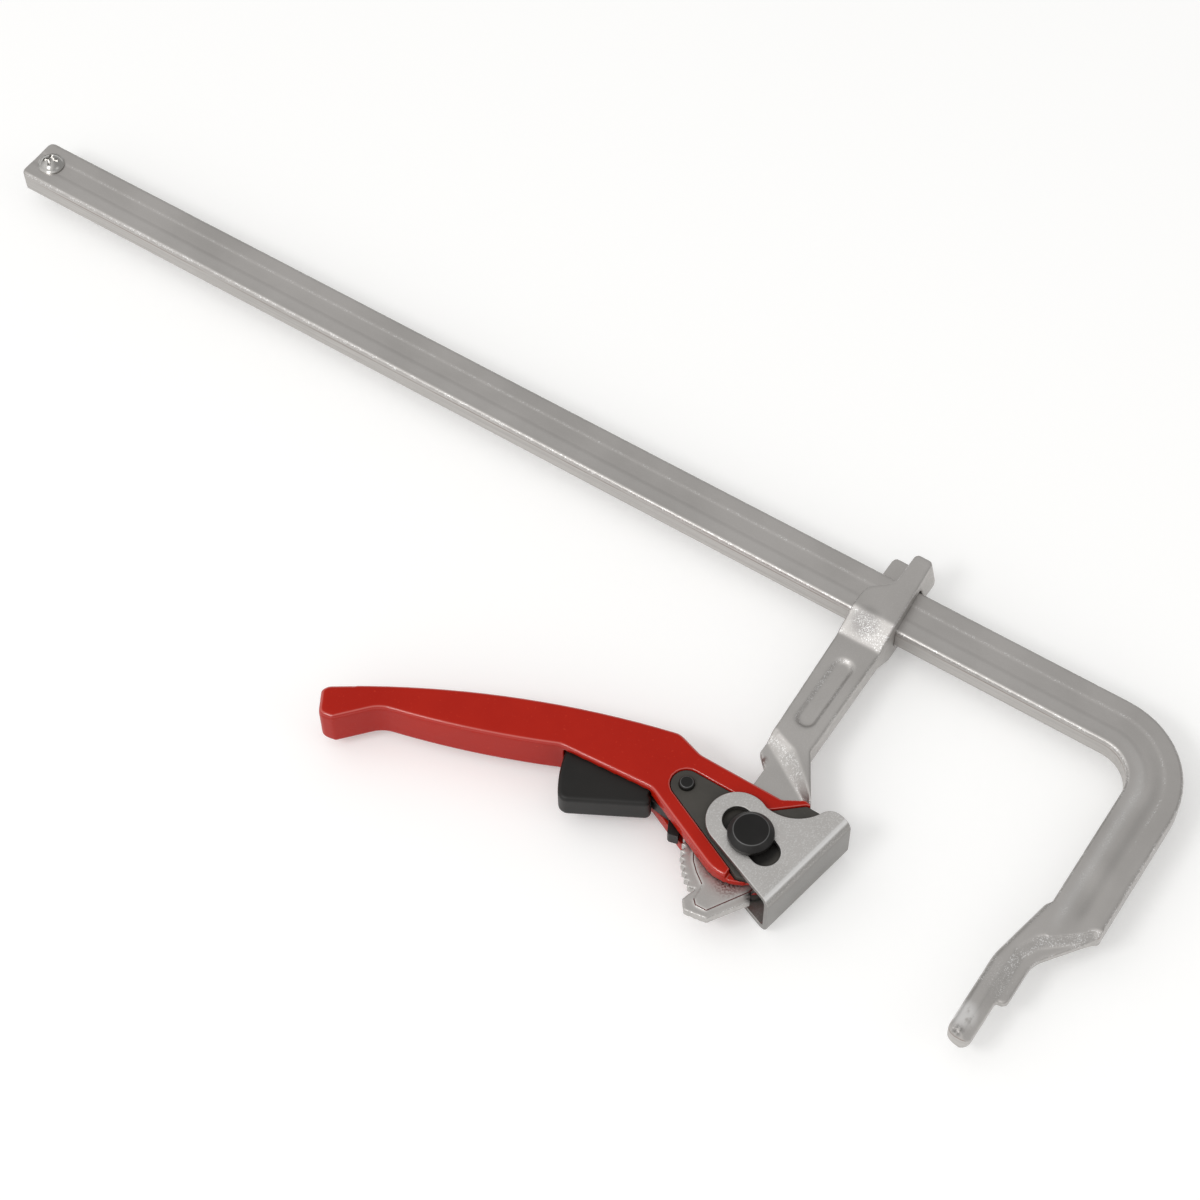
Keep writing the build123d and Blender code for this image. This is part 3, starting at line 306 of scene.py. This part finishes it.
railLook = dict(
    dark=(0.49, 0.472, 0.455, 1), light=(0.545, 0.525, 0.508, 1), cloudScale=26.0,
    streakStretch=(9.0, 900.0, 900.0), streak=0.6, streakColour=(0.40, 0.385, 0.37, 1), streakBump=-0.5,
    grainScale=3000.0, sparkle=0.7, flatGlint=0.05, slopeGlint=1.0, sideGlint=1.0, flatGrain=0.3,
    glintColour=(0.9, 0.9, 0.9, 1), glintShine=0.14, patchScale=200.0, patchLow=0.15,
    slopeShade=0.2, slopeColour=(0.2, 0.19, 0.18, 1), sideShade=0.0, sideColour=(0.28, 0.271, 0.262, 1),
    leanSheen=0.0, leanSheenColour=(0.95, 0.945, 0.94, 1), rough=(0.38, 0.46), bump=0.3, bumpHeight=0.00012,
    toe=(0.0, 0.006),
    # bands along the bar: painted glints on the groove's far slope, then a painted sheen and a line of painted
    # shade down the fixed arm's trough
    bands=(
        dict(at=0.0036, half=0.001, grains=0.9, paintedTone=0.0, colour=(0.8, 0.79, 0.78, 1), ends=((0.07, 0.1),)),
        dict(at=-0.0056, half=0.0036, grains=0.5, paintedTone=0.4, colour=(0.72, 0.71, 0.7, 1),
             ends=((0.034, 0.048), (0.135, 0.1))),
        dict(at=0.0006, half=0.0034, grains=0.0, paintedTone=0.5, colour=(0.36, 0.347, 0.335, 1),
             ends=((0.04, 0.052), (0.135, 0.1))),
    ),
    # a painted highlight on the toe's top, painted shade at its end, and painted glints scattered over the jaw's
    # plate
    stainsAndLightSpots=(
        dict(at=(0.0023, -0.0102, 0.0053), near=0.0025, far=0.0075, amount=0.6, scale=260.0, fill=0.36,
             colour=(0.92, 0.915, 0.91, 1)),
        dict(at=(0.0040, -0.0172, 0.0050), near=0.0008, far=0.0032, amount=0.75, scale=700.0, fill=0.45,
             colour=(0.13, 0.125, 0.12, 1)),
        dict(at=(0.0066, 0.010, 0.0053), near=0.003, far=0.010, amount=0.7, scale=2600.0, fill=0.64,
             colour=(0.92, 0.915, 0.91, 1)),
    ),
    seam=dict(height=0.0028, half=0.00055, amount=0.7, colour=(0.20, 0.13, 0.105, 1)),
)
forgedLook = dict(
    railLook, streakStretch=(260.0, 260.0, 260.0), streak=0.3, grainScale=3400.0, flatGlint=0.1,
    patchScale=130.0, flatGrain=0.45, rough=(0.38, 0.48), bump=0.36, seam=None, bands=(), stainsAndLightSpots=(),
)
armLook = dict(forgedLook, stainsAndLightSpots=(
    # painted shade on the head's slope
    dict(at=(-0.1125, 0.1150, 0.009), near=0.003, far=0.0085, amount=0.7, scale=90.0, fill=0.36,
         colour=(0.26, 0.25, 0.245, 1)),
    dict(at=(-0.1152, 0.0425, 0.001), near=0.0010, far=0.0030, amount=0.75, scale=700.0, fill=0.42,
         colour=(0.10, 0.022, 0.014, 1)),
    dict(at=(-0.0978, -0.0104, 0.0026), near=0.001, far=0.0080, amount=0.85, scale=1200.0, fill=0.5,
         colour=(0.15, 0.025, 0.02, 1)),
    # a darker patch at the beak's end by the bracket
    dict(at=(-0.0872, -0.0102, 0.0022), near=0.0015, far=0.0042, amount=0.85, scale=500.0, fill=0.42,
         colour=(0.06, 0.054, 0.05, 1)),
    dict(at=(-0.1075, -0.0095, 0.0026), near=0.001, far=0.005, amount=0.6, scale=900.0, fill=0.52,
         colour=(0.24, 0.035, 0.026, 1)),
))
# the bracket: painted shade on its upright web and the slopes of its bend, and a painted sheen high on the bend
sheetLook = dict(
    forgedLook, dark=(0.555, 0.538, 0.522, 1), light=(0.605, 0.588, 0.572, 1), streak=0.0,
    grainScale=2400.0, sparkle=0.8, flatGlint=0.42, slopeGlint=0.12, sideGlint=0.1, flatGrain=0.6,
    patchScale=3000.0, patchLow=0.3, sideShade=1.0, sideColour=(0.3, 0.29, 0.28, 1), slopeShade=0.45,
    leanSheen=0.75, bump=0.25,
)
screwLook = dict(
    railLook, dark=(0.5, 0.49, 0.475, 1), light=(0.58, 0.57, 0.55, 1), streakStretch=(500.0, 500.0, 500.0),
    streak=0.2, grainScale=2600.0, sparkle=0.15, slopeShade=0.3, rough=(0.2, 0.28), bump=0.06,
    seam=None, bands=(), stainsAndLightSpots=(),
)
railSteel = steelMaterial("rolledSteel", railLook)
armSteel = steelMaterial("forgedSteel", armLook)
sheetSteel = steelMaterial("sheetSteel", sheetLook)
screwSteel = steelMaterial("screwSteel", screwLook)


# paint, oxide and plastic

coatNoise = dict(
    cloudDetail=4.0, peelDetail=2.0, peelRough=0.5, fleckDetail=2.0, fleckShare=0.35,
    cloud=(0.3, 0.7), fleck=(0.66, 0.74), rough=(0.25, 0.75),
)


def coatedMaterial(name, look):
    # not metallic, with a peel bump and small flecks, a painted highlight along rounded rims and, where given, a
    # ring of painted shade
    mat, tree, coords, shader = startShader(
        name, Metallic=0.0, IOR=1.5, Coat_Roughness=look["coatRough"], Specular_IOR_Level=look["specular"])
    mask = placeGroup(tree, slopeGroup)
    coat = spread(tree, mask.outputs["Slope"], 0.0, 1.0, look["coat"], look["edgeCoat"])
    tree.links.new(coat, shader.inputs["Coat Weight"])
    cloud = noiseAt(tree, coords, look["cloudScale"], coatNoise["cloudDetail"])
    peel = noiseAt(tree, coords, look["peelScale"], coatNoise["peelDetail"], coatNoise["peelRough"])
    grain = placeGroup(tree, grainGroup, coords, Size=look["fleckScale"], Sparkle=1.0)
    fleck = noiseAt(tree, coords, look["fleckScale"] * coatNoise["fleckShare"], coatNoise["fleckDetail"])
    fleck = spread(tree, fleck, *coatNoise["fleck"], 0.0, look["fleck"])
    tone = mixColour(tree, spread(tree, cloud, *coatNoise["cloud"]), look["dark"], look["light"])
    tone = mixColour(tree, fleck, tone, look["fleckColour"])
    # rounded rims lightened as a painted highlight
    tone = mixColour(tree, times(tree, mask.outputs["Lean"], look["rimHighlight"]), tone, look["rimHighlightColour"])
    # a ring of painted shade around a given point
    if look["shadeRing"]:
        shadeRing = look["shadeRing"]
        away = vectorNode(tree, "DISTANCE", coords, shadeRing["at"], "Value")
        ringShadeShare = spread(tree, away, shadeRing["far"], shadeRing["near"], 0.0, shadeRing["amount"])
        tone = mixColour(tree, ringShadeShare, tone, shadeRing["colour"])
    tree.links.new(tone, shader.inputs["Base Color"])
    tree.links.new(spread(tree, cloud, *coatNoise["rough"], *look["rough"]), shader.inputs["Roughness"])
    addBump(tree, shader, mathNode(tree, "ADD", peel, times(tree, grain.outputs["Grain"], look["fine"])), look)
    return mat


# the red's rounded rims get a painted highlight
redLook = dict(
    dark=(0.38, 0.0085, 0.002, 1), light=(0.42, 0.0115, 0.003, 1), cloudScale=30.0, peelScale=420.0,
    fleckScale=2400.0, fleck=0.5, fleckColour=(0.55, 0.035, 0.015, 1), rimHighlight=0.35, rimHighlightColour=(0.7, 0.2, 0.17, 1),
    coat=0.12, edgeCoat=1.0, coatRough=0.04, specular=0.12, rough=(0.34, 0.42),
    fine=0.14, bump=0.14, bumpHeight=0.0002, shadeRing=None,
)
plasticLook = dict(
    dark=(0.0085, 0.008, 0.0073, 1), light=(0.0125, 0.0118, 0.0108, 1), cloudScale=60.0, peelScale=1500.0,
    fleckScale=2200.0, fleck=0.1, fleckColour=(0.03, 0.029, 0.027, 1), rimHighlight=0.0, rimHighlightColour=(0.12, 0.12, 0.12, 1),
    coat=0.0, edgeCoat=0.1, coatRough=0.3, specular=0.28, rough=(0.4, 0.5),
    fine=0.4, bump=0.12, bumpHeight=0.00012, shadeRing=None,
)
oxideLook = dict(
    plasticLook, dark=(0.006, 0.0055, 0.0052, 1), light=(0.011, 0.0102, 0.0097, 1), peelScale=900.0,
    # a painted highlight along rounded rims, as on the pin head's chamfer
    rough=(0.32, 0.42), rimHighlight=0.7,
)
darkSteelLook = dict(
    plasticLook, dark=(0.047, 0.0435, 0.038, 1), light=(0.063, 0.058, 0.051, 1), cloudScale=85.0, fleck=0.25,
    fleckColour=(0.09, 0.085, 0.078, 1), rough=(0.42, 0.55), peelScale=700.0, bump=0.14,
    # a ring of painted shade on the cam plate around the pivot, where it lies deep in the slot
    shadeRing=dict(at=(-0.099, 0.007, 0.0115), near=0.0105, far=0.0135, amount=0.9, colour=(0.008, 0.0075, 0.007, 1)),
)
seamLook = dict(
    plasticLook, dark=(0.07, 0.010, 0.008, 1), light=(0.11, 0.016, 0.012, 1), cloudScale=400.0, rough=(0.5, 0.6),
)
redPaint = coatedMaterial("redPaint", redLook)
blackPlastic = coatedMaterial("blackPlastic", plasticLook)
blackOxide = coatedMaterial("blackOxide", oxideLook)
darkSteel = coatedMaterial("darkSteel", darkSteelLook)
seamPaint = coatedMaterial("seamPaint", seamLook)
print("materials made")


# pieces: each CAD solid copied, then given broken edges or a soft skin as on the real piece

meshWork = dict(
    mergeGap=2e-6, flatAngle=0.4, sharpAngles=(25, 181), smoothAngle=24, normalWeight=50, softFactor=0.5,
)


def selectOnly(obj):
    bpy.ops.object.select_all(action="DESELECT")
    obj.select_set(True)
    bpy.context.view_layer.objects.active = obj


def inBox(point, box):
    return all(low <= value <= high for value, low, high in zip(point, *box))


def acrossBar(point):
    # distance from the bent bar's middle line, positive on the outside of the bend
    out = [max(point[axis] - bar["bendCentre"][axis], 0.0) for axis in (0, 1)]
    return (out[0] ** 2 + out[1] ** 2) ** 0.5 - bar["bendRadius"]


def copyOf(node, name):
    piece = bpy.data.objects.new(name, nodes[node].data.copy())
    bpy.context.scene.collection.objects.link(piece)
    selectOnly(piece)
    bpy.ops.object.mode_set(mode="EDIT")
    bpy.ops.mesh.select_mode(type="EDGE")
    bpy.ops.mesh.select_all(action="SELECT")
    bpy.ops.mesh.remove_doubles(threshold=meshWork["mergeGap"])
    bpy.ops.object.mode_set(mode="OBJECT")
    return piece


def roundEdges(piece, step):
    # bevels the sharp edges inside the step's box, leaving out those inside its gaps
    bpy.ops.mesh.select_all(action="DESELECT")
    cut = bmesh.from_edit_mesh(piece.data)
    lowAngle, highAngle = (radians(angle) for angle in step.get("angles", meshWork["sharpAngles"]))
    for edge in cut.edges:
        if len(edge.link_faces) != 2 or not lowAngle < edge.calc_face_angle() < highAngle:
            continue
        middle = (edge.verts[0].co + edge.verts[1].co) / 2
        wanted = "box" not in step or inBox(middle, step["box"])
        wanted = wanted and not any(inBox(middle, gap) for gap in step.get("gaps", ()))
        edge.select = wanted and ("across" not in step or abs(acrossBar(middle)) < step["across"])
    bmesh.update_edit_mesh(piece.data)
    bpy.ops.mesh.bevel(offset=step["width"], segments=step["segments"], affect="EDGES",
                       clamp_overlap=step.get("clamp", True), miter_outer="ARC")


def brokenEdges(piece, rounds):
    bpy.ops.object.mode_set(mode="EDIT")
    bpy.ops.mesh.select_all(action="SELECT")
    bpy.ops.mesh.dissolve_limited(angle_limit=radians(meshWork["flatAngle"]), use_dissolve_boundaries=False)
    for step in rounds:
        roundEdges(piece, step)
    bpy.ops.object.mode_set(mode="OBJECT")


def finishShading(piece, angle):
    bpy.ops.object.shade_smooth_by_angle(angle=radians(angle))
    even = piece.modifiers.new("evenShading", "WEIGHTED_NORMAL")
    even.mode = "FACE_AREA"
    even.weight = meshWork["normalWeight"]
    even.keep_sharp = True
    bpy.ops.object.modifier_apply(modifier=even.name)


def evenSkin(piece, grid):
    remesh = piece.modifiers.new("skin", "REMESH")
    remesh.mode = "VOXEL"
    remesh.voxel_size = grid
    bpy.ops.object.modifier_apply(modifier=remesh.name)


def soften(piece, passes, box=None):
    soft = piece.modifiers.new("soften", "SMOOTH")
    soft.factor = meshWork["softFactor"]
    soft.iterations = passes
    if box:
        zone = piece.vertex_groups.new(name="softZone")
        zone.add([spot.index for spot in piece.data.vertices if inBox(spot.co, box)], 1.0, "REPLACE")
        soft.vertex_group = zone.name
    bpy.ops.object.modifier_apply(modifier=soft.name)
    piece.vertex_groups.clear()


def setHeight(spot, height):
    spot.co.z = height if spot.co.z > 0 else -height


def fillToe(piece, toe):
    # the pad's back runs on to its toe at full height, and the end edge is round
    (leftX, leftY, leftRadius), (rightX, rightY, rightRadius) = toe["left"], toe["right"]
    for spot in piece.data.vertices:
        x, y, z = spot.co
        if y > toe["start"] or abs(z) < toe["above"]:
            continue
        fromEnd, fromFace = y - toe["end"], max(0.0, x)
        if x < leftX and y < leftY:
            fromEnd = leftRadius - Vector((x - leftX, y - leftY)).length
            fromFace = min(fromFace, fromEnd)
        elif x > rightX and y < rightY:
            fromEnd = rightRadius - Vector((x - rightX, y - rightY)).length
        endShare = min(1.0, max(0.0, 1 - fromEnd / toe["edge"]))
        faceShare = min(1.0, max(0.0, 1 - fromFace / toe["round"]))
        height = toe["face"] - max(
            toe["drop"] * (1 - (1 - endShare ** 2) ** 0.5),
            toe["round"] * (1 - (1 - faceShare ** 2) ** 0.5),
            toe["slope"] * max(0.0, x - toe["crest"]),
        )
        if height > abs(z):
            setHeight(spot, height)
    piece.data.update()


def openFacet(piece, facet):
    # the slanting step of the shank runs out through its side, on both faces
    atX, atY = facet["at"]
    for spot in piece.data.vertices:
        x, y, z = spot.co
        if inBox((x, y, abs(z)), facet["box"]):
            plane = facet["height"] + facet["alongX"] * (x - atX) + facet["alongY"] * (y - atY)
            setHeight(spot, min(abs(z), max(plane, facet["lowest"])))
    piece.data.update()


def forgedSkin(piece, skin):
    # one even skin over the solid, its edges and inner corners run soft as on a forging or casting
    evenSkin(piece, skin["grid"])
    for key, reshape in (("toe", fillToe), ("facet", openFacet)):
        if key in skin:
            reshape(piece, skin[key])
            evenSkin(piece, skin["grid"])
    soften(piece, skin["passes"])
    for extra in skin.get("extra", ()):
        soften(piece, extra["passes"], extra["box"])
    bpy.ops.object.shade_smooth()


def cutAway(piece, height, clearUpper):
    # keeps the part of a piece on one side of a level across the fixed arm, and closes it there
    selectOnly(piece)
    bpy.ops.object.mode_set(mode="EDIT")
    bpy.ops.mesh.select_all(action="SELECT")
    bpy.ops.mesh.bisect(plane_co=(0, height, 0), plane_no=(0, 1, 0), use_fill=True,
                        clear_outer=clearUpper, clear_inner=not clearUpper)
    bpy.ops.mesh.mark_sharp()
    bpy.ops.object.mode_set(mode="OBJECT")


def smoothStep(value, low, high):
    share = min(1.0, max(0.0, (value - low) / (high - low)))
    return share * share * (3 - 2 * share)


def pressTrough(piece, trough):
    # down the fixed arm the rolled groove gives way to a soft trough, on both faces
    half, start, full, end = (trough[key] for key in ("half", "start", "full", "end"))
    for spot in piece.data.vertices:
        y, thick = spot.co.y, abs(spot.co.z)
        off = abs(acrossBar(spot.co) - trough["at"])
        if off > half or thick < trough["above"] or not end < y < start:
            continue
        deep = trough["depth"] * smoothStep(off, half, 0.0) * smoothStep(y, end, full)
        share = smoothStep(y, start, full) * smoothStep(off, half, trough["inner"])
        setHeight(spot, (1 - share) * thick + share * (trough["face"] - deep))
    piece.data.update()


def easeGroove(piece, groove):
    # the rolled groove shows fainter on the real bar than its solid has it
    for spot in piece.data.vertices:
        depth = groove["face"] - abs(spot.co.z)
        if abs(acrossBar(spot.co)) < groove["half"] and 0 < depth < groove["depth"]:
            setHeight(spot, groove["face"] - groove["keep"] * depth)
    piece.data.update()


def makeRail(piece, jaw, values):
    # the bar keeps its rolled edges, and the fixed jaw below the cut gets a forged skin
    for part in (piece, jaw):
        easeGroove(part, values["groove"])
    selectOnly(jaw)
    forgedSkin(jaw, values["skin"])
    cutAway(jaw, values["forgedBelow"], True)
    pressTrough(jaw, values["trough"])
    selectOnly(piece)
    brokenEdges(piece, values["rounds"])
    cutAway(piece, values["forgedBelow"], False)
    finishShading(piece, values["smooth"])
    jaw.select_set(True)
    bpy.ops.object.join()


def makePiece(node, values):
    piece = copyOf(node, values["name"])
    if "forgedBelow" in values:
        makeRail(piece, copyOf(node, values["name"] + "Jaw"), values)
    elif "skin" in values:
        forgedSkin(piece, values["skin"])
    else:
        brokenEdges(piece, values["rounds"])
        finishShading(piece, values.get("smooth", meshWork["smoothAngle"]))
    piece.data.materials.clear()
    piece.data.materials.append(values["material"])
    if "blend" in values:
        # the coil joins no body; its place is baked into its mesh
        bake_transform(piece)
    else:
        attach(piece, values["body"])
    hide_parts(node)
    return piece


# zones of single pieces, as low and high corners
jawBox = ((-0.1, -0.05, -0.05), (0.1, 0.07, 0.05))
toeBox = ((-0.1, -0.05, -0.02), (0.1, -0.008, 0.02))
screwBox = ((-0.5485, 0.12, -0.05), (-0.5395, 0.14, 0.05))
railEndBox = ((-0.56, 0.1, -0.02), (-0.5515, 0.2, 0.02))
shankBox = ((-0.2, 0.03, -0.05), (0.1, 0.2, 0.05))
headBox = ((-0.2, 0.057, -0.05), (0.1, 0.2, 0.05))
facetBox = ((-0.12, 0.0495, 0.002), (-0.1157, 0.0562, 0.006))
gripBox = ((-0.4, -0.1, -0.05), (-0.196, 0.1, 0.05))
buttBox = ((-0.4, -0.1, -0.05), (-0.264, 0.1, 0.05))

pieces = {
    "rail": dict(
        name="railBar", body="frame_bar", slot="plated_steel", material=railSteel, smooth=30, forgedBelow=0.074,
        rounds=(
            dict(width=0.0005, segments=2, angles=(2.5, 14), across=0.005, gaps=(jawBox, screwBox), clamp=False),
            dict(width=0.0012, segments=4, angles=(40, 181), box=railEndBox),
            dict(width=0.0004, segments=3, angles=(40, 181), gaps=(jawBox, screwBox)),
        ),
        groove=dict(face=0.00525, half=0.0049, depth=0.0003, keep=0.5),
        skin=dict(grid=0.00045, passes=4, extra=(dict(box=toeBox, passes=6),), toe=dict(
            start=-0.004, above=0.0013, face=0.00525, crest=0.0062, slope=0.986, end=-0.0189, edge=0.002,
            drop=0.0035, round=0.003, left=(0.0036, -0.015, 0.0036), right=(0.007, -0.0161, 0.0028),
        )),
        trough=dict(at=-0.001, half=0.0078, inner=0.0066, depth=0.001, start=0.074, full=0.056, end=0.034,
                    face=0.00525, above=0.0043),
    ),
    "end_stop_screw": dict(
        name="stopScrew", body="frame_bar", slot="screw_steel", material=screwSteel,
        rounds=(dict(width=0.00018, segments=2),),
    ),
    "sliding_arm": dict(
        name="slidingArm", body="slider", slot="plated_steel", material=armSteel,
        skin=dict(
            grid=0.0004, passes=1, extra=(dict(box=shankBox, passes=2), dict(box=headBox, passes=7)),
            facet=dict(box=facetBox, at=(-0.115, 0.052), height=0.00381, alongX=0.262, alongY=0.58, lowest=0.0021),
        ),
    ),
    "pressure_bracket": dict(
        name="pressureBracket", body="bracket", slot="plated_steel", material=sheetSteel,
        rounds=(dict(width=0.00045, segments=3),),
    ),
    "handle_body": dict(
        name="leverHandle", body="lever", slot="red_paint", material=redPaint,
        skin=dict(grid=0.0005, passes=1, extra=(dict(box=gripBox, passes=2), dict(box=buttBox, passes=24))),
    ),
    "cam_plate_upper": dict(
        name="camPlateUpper", body="lever", slot="dark_steel", material=darkSteel,
        rounds=(dict(width=0.00035, segments=2),),
    ),
    "cam_plate_lower": dict(
        name="camPlateLower", body="lever", slot="dark_steel", material=darkSteel,
        rounds=(dict(width=0.00035, segments=2),),
    ),
    "pivot_pin": dict(
        name="pivotPin", body="pin", slot="black_steel", material=blackOxide,
        rounds=(dict(width=0.0004, segments=3),),
    ),
    "pivot_pin_cap": dict(
        name="pivotPinCap", body="pin", slot="black_steel", material=blackOxide,
        rounds=(dict(width=0.0003, segments=2),),
    ),
    "pawl_pin": dict(
        name="pawlPin", body="lever", slot="black_steel", material=blackOxide,
        rounds=(dict(width=0.00025, segments=2),),
    ),
    "pawl": dict(
        name="pawlLever", body="trigger", slot="black_steel", material=blackOxide,
        rounds=(dict(width=0.0003, segments=2),),
    ),
    "trigger_grip": dict(
        name="triggerGrip", body="trigger", slot="black_plastic", material=blackPlastic,
        skin=dict(grid=0.0004, passes=5),
    ),
    "pawl_spring": dict(
        name="returnSpring", body="lever", slot="screw_steel", material=screwSteel, smooth=40,
        rounds=(), blend=dict(to="trigger", inset=0.0012),
    ),
}
for node, values in pieces.items():
    piece = makePiece(node, values)
    print("piece", piece.name, len(piece.data.polygons), "faces")
nodes["trigger_rivets"].data.materials.clear()
nodes["trigger_rivets"].data.materials.append(blackOxide)


# red paint caught in the crease along the tongue's raised land
seam = dict(
    name="paintSeam", body="slider", slot="red_paint", height=0.00246, radius=0.0002, roundness=2, smooth=60,
    lines=(
        ((-0.1164, -0.0045), (-0.1159, -0.0063), (-0.1140, -0.0094), (-0.1104, -0.0129), (-0.1060, -0.0161)),
        ((-0.1052, -0.0230), (-0.1034, -0.0248), (-0.0987, -0.0246), (-0.0895, -0.0096), (-0.0880, -0.0060)),
    ),
)


def makeSeam(values):
    line = bpy.data.curves.new(values["name"], "CURVE")
    line.dimensions = "3D"
    line.bevel_depth = values["radius"]
    line.bevel_resolution = values["roundness"]
    line.use_fill_caps = True
    for points in values["lines"]:
        spline = line.splines.new("POLY")
        spline.points.add(len(points) - 1)
        for spot, (x, y) in zip(spline.points, points):
            spot.co = (x, y, values["height"], 1)
    piece = bpy.data.objects.new(values["name"], line)
    bpy.context.scene.collection.objects.link(piece)
    selectOnly(piece)
    bpy.ops.object.convert(target="MESH")
    piece = bpy.context.active_object
    piece.data.materials.clear()
    piece.data.materials.append(seamPaint)
    bpy.ops.object.shade_smooth_by_angle(angle=radians(values["smooth"]))
    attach(piece, values["body"])


makeSeam(seam)
print("seam made")


# stage, light and camera
stage = dict(
    floorSize=16.0, floorMiddle=(-0.2, 0.05), floorColour=(0.86, 0.86, 0.855, 1), gap=0.0003,
    floorLift=0.2, paleFrom=0.8, paleAt=3.0, farLift=0.6,
)
sky = dict(colour=(1.0, 0.995, 0.985, 1), base=0.5, front=0.65, towards=(-0.298, -0.596, 0.745), edge=0.25)
lamps = (
    dict(name="frontSoftbox", at=(-0.47, -0.87, 1.2), towards=(-0.12, 0.03, 0.0), size=(0.48, 0.32), power=4.6),
    dict(name="sideSoftbox", at=(1.3, 0.2, 0.9), towards=(-0.1, 0.05, 0.0), size=(0.9, 0.9), power=1.6),
)
view = dict(
    at=(0.135351, -0.435668, 0.920678), elevation=56.326, azimuth=34.217, roll=-1.026,
    focalPixels=2743.24, imagePixels=1200, sensor=36.0, nearest=0.01,
)


def makeFloor(values, height):
    bpy.ops.object.select_all(action="DESELECT")
    bpy.ops.mesh.primitive_plane_add(size=values["floorSize"], location=(*values["floorMiddle"], height))
    floor = bpy.context.active_object
    floor.name = "studioFloor"
    mat, tree = newMaterial("studioPaper")
    paper = addNode(tree, "ShaderNodeBsdfDiffuse", None, Color=values["floorColour"])
    glow = addNode(tree, "ShaderNodeEmission", None, Color=(1, 1, 1, 1))
    path = addNode(tree, "ShaderNodeLightPath")
    seen = mathNode(tree, "ADD", path.outputs["Is Camera Ray"], path.outputs["Is Glossy Ray"], True)
    # paler with distance, so that the floor meets the white backdrop without an edge
    reach = vectorNode(tree, "LENGTH", addNode(tree, "ShaderNodeTexCoord").outputs["Object"], None, "Value")
    lift = spread(tree, reach, values["paleFrom"], values["paleAt"], values["floorLift"], values["farLift"])
    tree.links.new(times(tree, seen, lift), glow.inputs["Strength"])
    both = addNode(tree, "ShaderNodeAddShader")
    tree.links.new(paper.outputs[0], both.inputs[0])
    tree.links.new(glow.outputs[0], both.inputs[1])
    tree.links.new(both.outputs[0], addNode(tree, "ShaderNodeOutputMaterial").inputs["Surface"])
    floor.data.materials.append(mat)


def makeSky(values):
    # the room is brighter towards the front, as with one very large soft light
    world = bpy.data.worlds.new("studioWorld")
    bpy.context.scene.world = world
    world.use_nodes = True
    tree = world.node_tree
    tree.nodes.clear()
    backdrop = addNode(tree, "ShaderNodeBackground", None, Color=values["colour"])
    ray = addNode(tree, "ShaderNodeTexCoord").outputs["Generated"]
    facing = vectorNode(tree, "DOT_PRODUCT", ray, values["towards"], "Value")
    strength = spread(tree, facing, values["edge"], 1.0, values["base"], values["base"] + values["front"])
    tree.links.new(strength, backdrop.inputs["Strength"])
    white = addNode(tree, "ShaderNodeBackground", None, Color=(1, 1, 1, 1), Strength=1.0)
    mix = addNode(tree, "ShaderNodeMixShader")
    tree.links.new(addNode(tree, "ShaderNodeLightPath").outputs["Is Camera Ray"], mix.inputs[0])
    tree.links.new(backdrop.outputs[0], mix.inputs[1])
    tree.links.new(white.outputs[0], mix.inputs[2])
    tree.links.new(mix.outputs[0], addNode(tree, "ShaderNodeOutputWorld").inputs["Surface"])


def makeLamp(lamp):
    bpy.ops.object.light_add(type="AREA", location=lamp["at"])
    light = bpy.context.active_object
    light.name = lamp["name"]
    light.data.shape = "RECTANGLE"
    light.data.size, light.data.size_y = lamp["size"]
    light.data.energy = lamp["power"]
    aim = Vector(lamp["towards"]) - Vector(lamp["at"])
    light.rotation_euler = aim.to_track_quat("-Z", "Y").to_euler()


def makeCamera(values):
    bpy.ops.object.camera_add(location=values["at"])
    camera = bpy.context.active_object
    camera.name = "photoCamera"
    turn = Matrix.Rotation(radians(values["azimuth"]), 3, "Z")
    tip = Matrix.Rotation(radians(90 - values["elevation"]), 3, "X")
    roll = Matrix.Rotation(radians(values["roll"]), 3, "Z")
    camera.rotation_euler = (turn @ tip @ roll).to_euler()
    camera.data.sensor_width = values["sensor"]
    camera.data.lens = values["focalPixels"] * values["sensor"] / values["imagePixels"]
    camera.data.clip_start = values["nearest"]
    bpy.context.scene.camera = camera


lowest = cadBox[0][2]
makeFloor(stage, lowest - stage["gap"])
makeSky(sky)
for lamp in lamps:
    makeLamp(lamp)
makeCamera(view)
bpy.context.scene.view_settings.view_transform = "Standard"
print("stage, lamps and camera set")
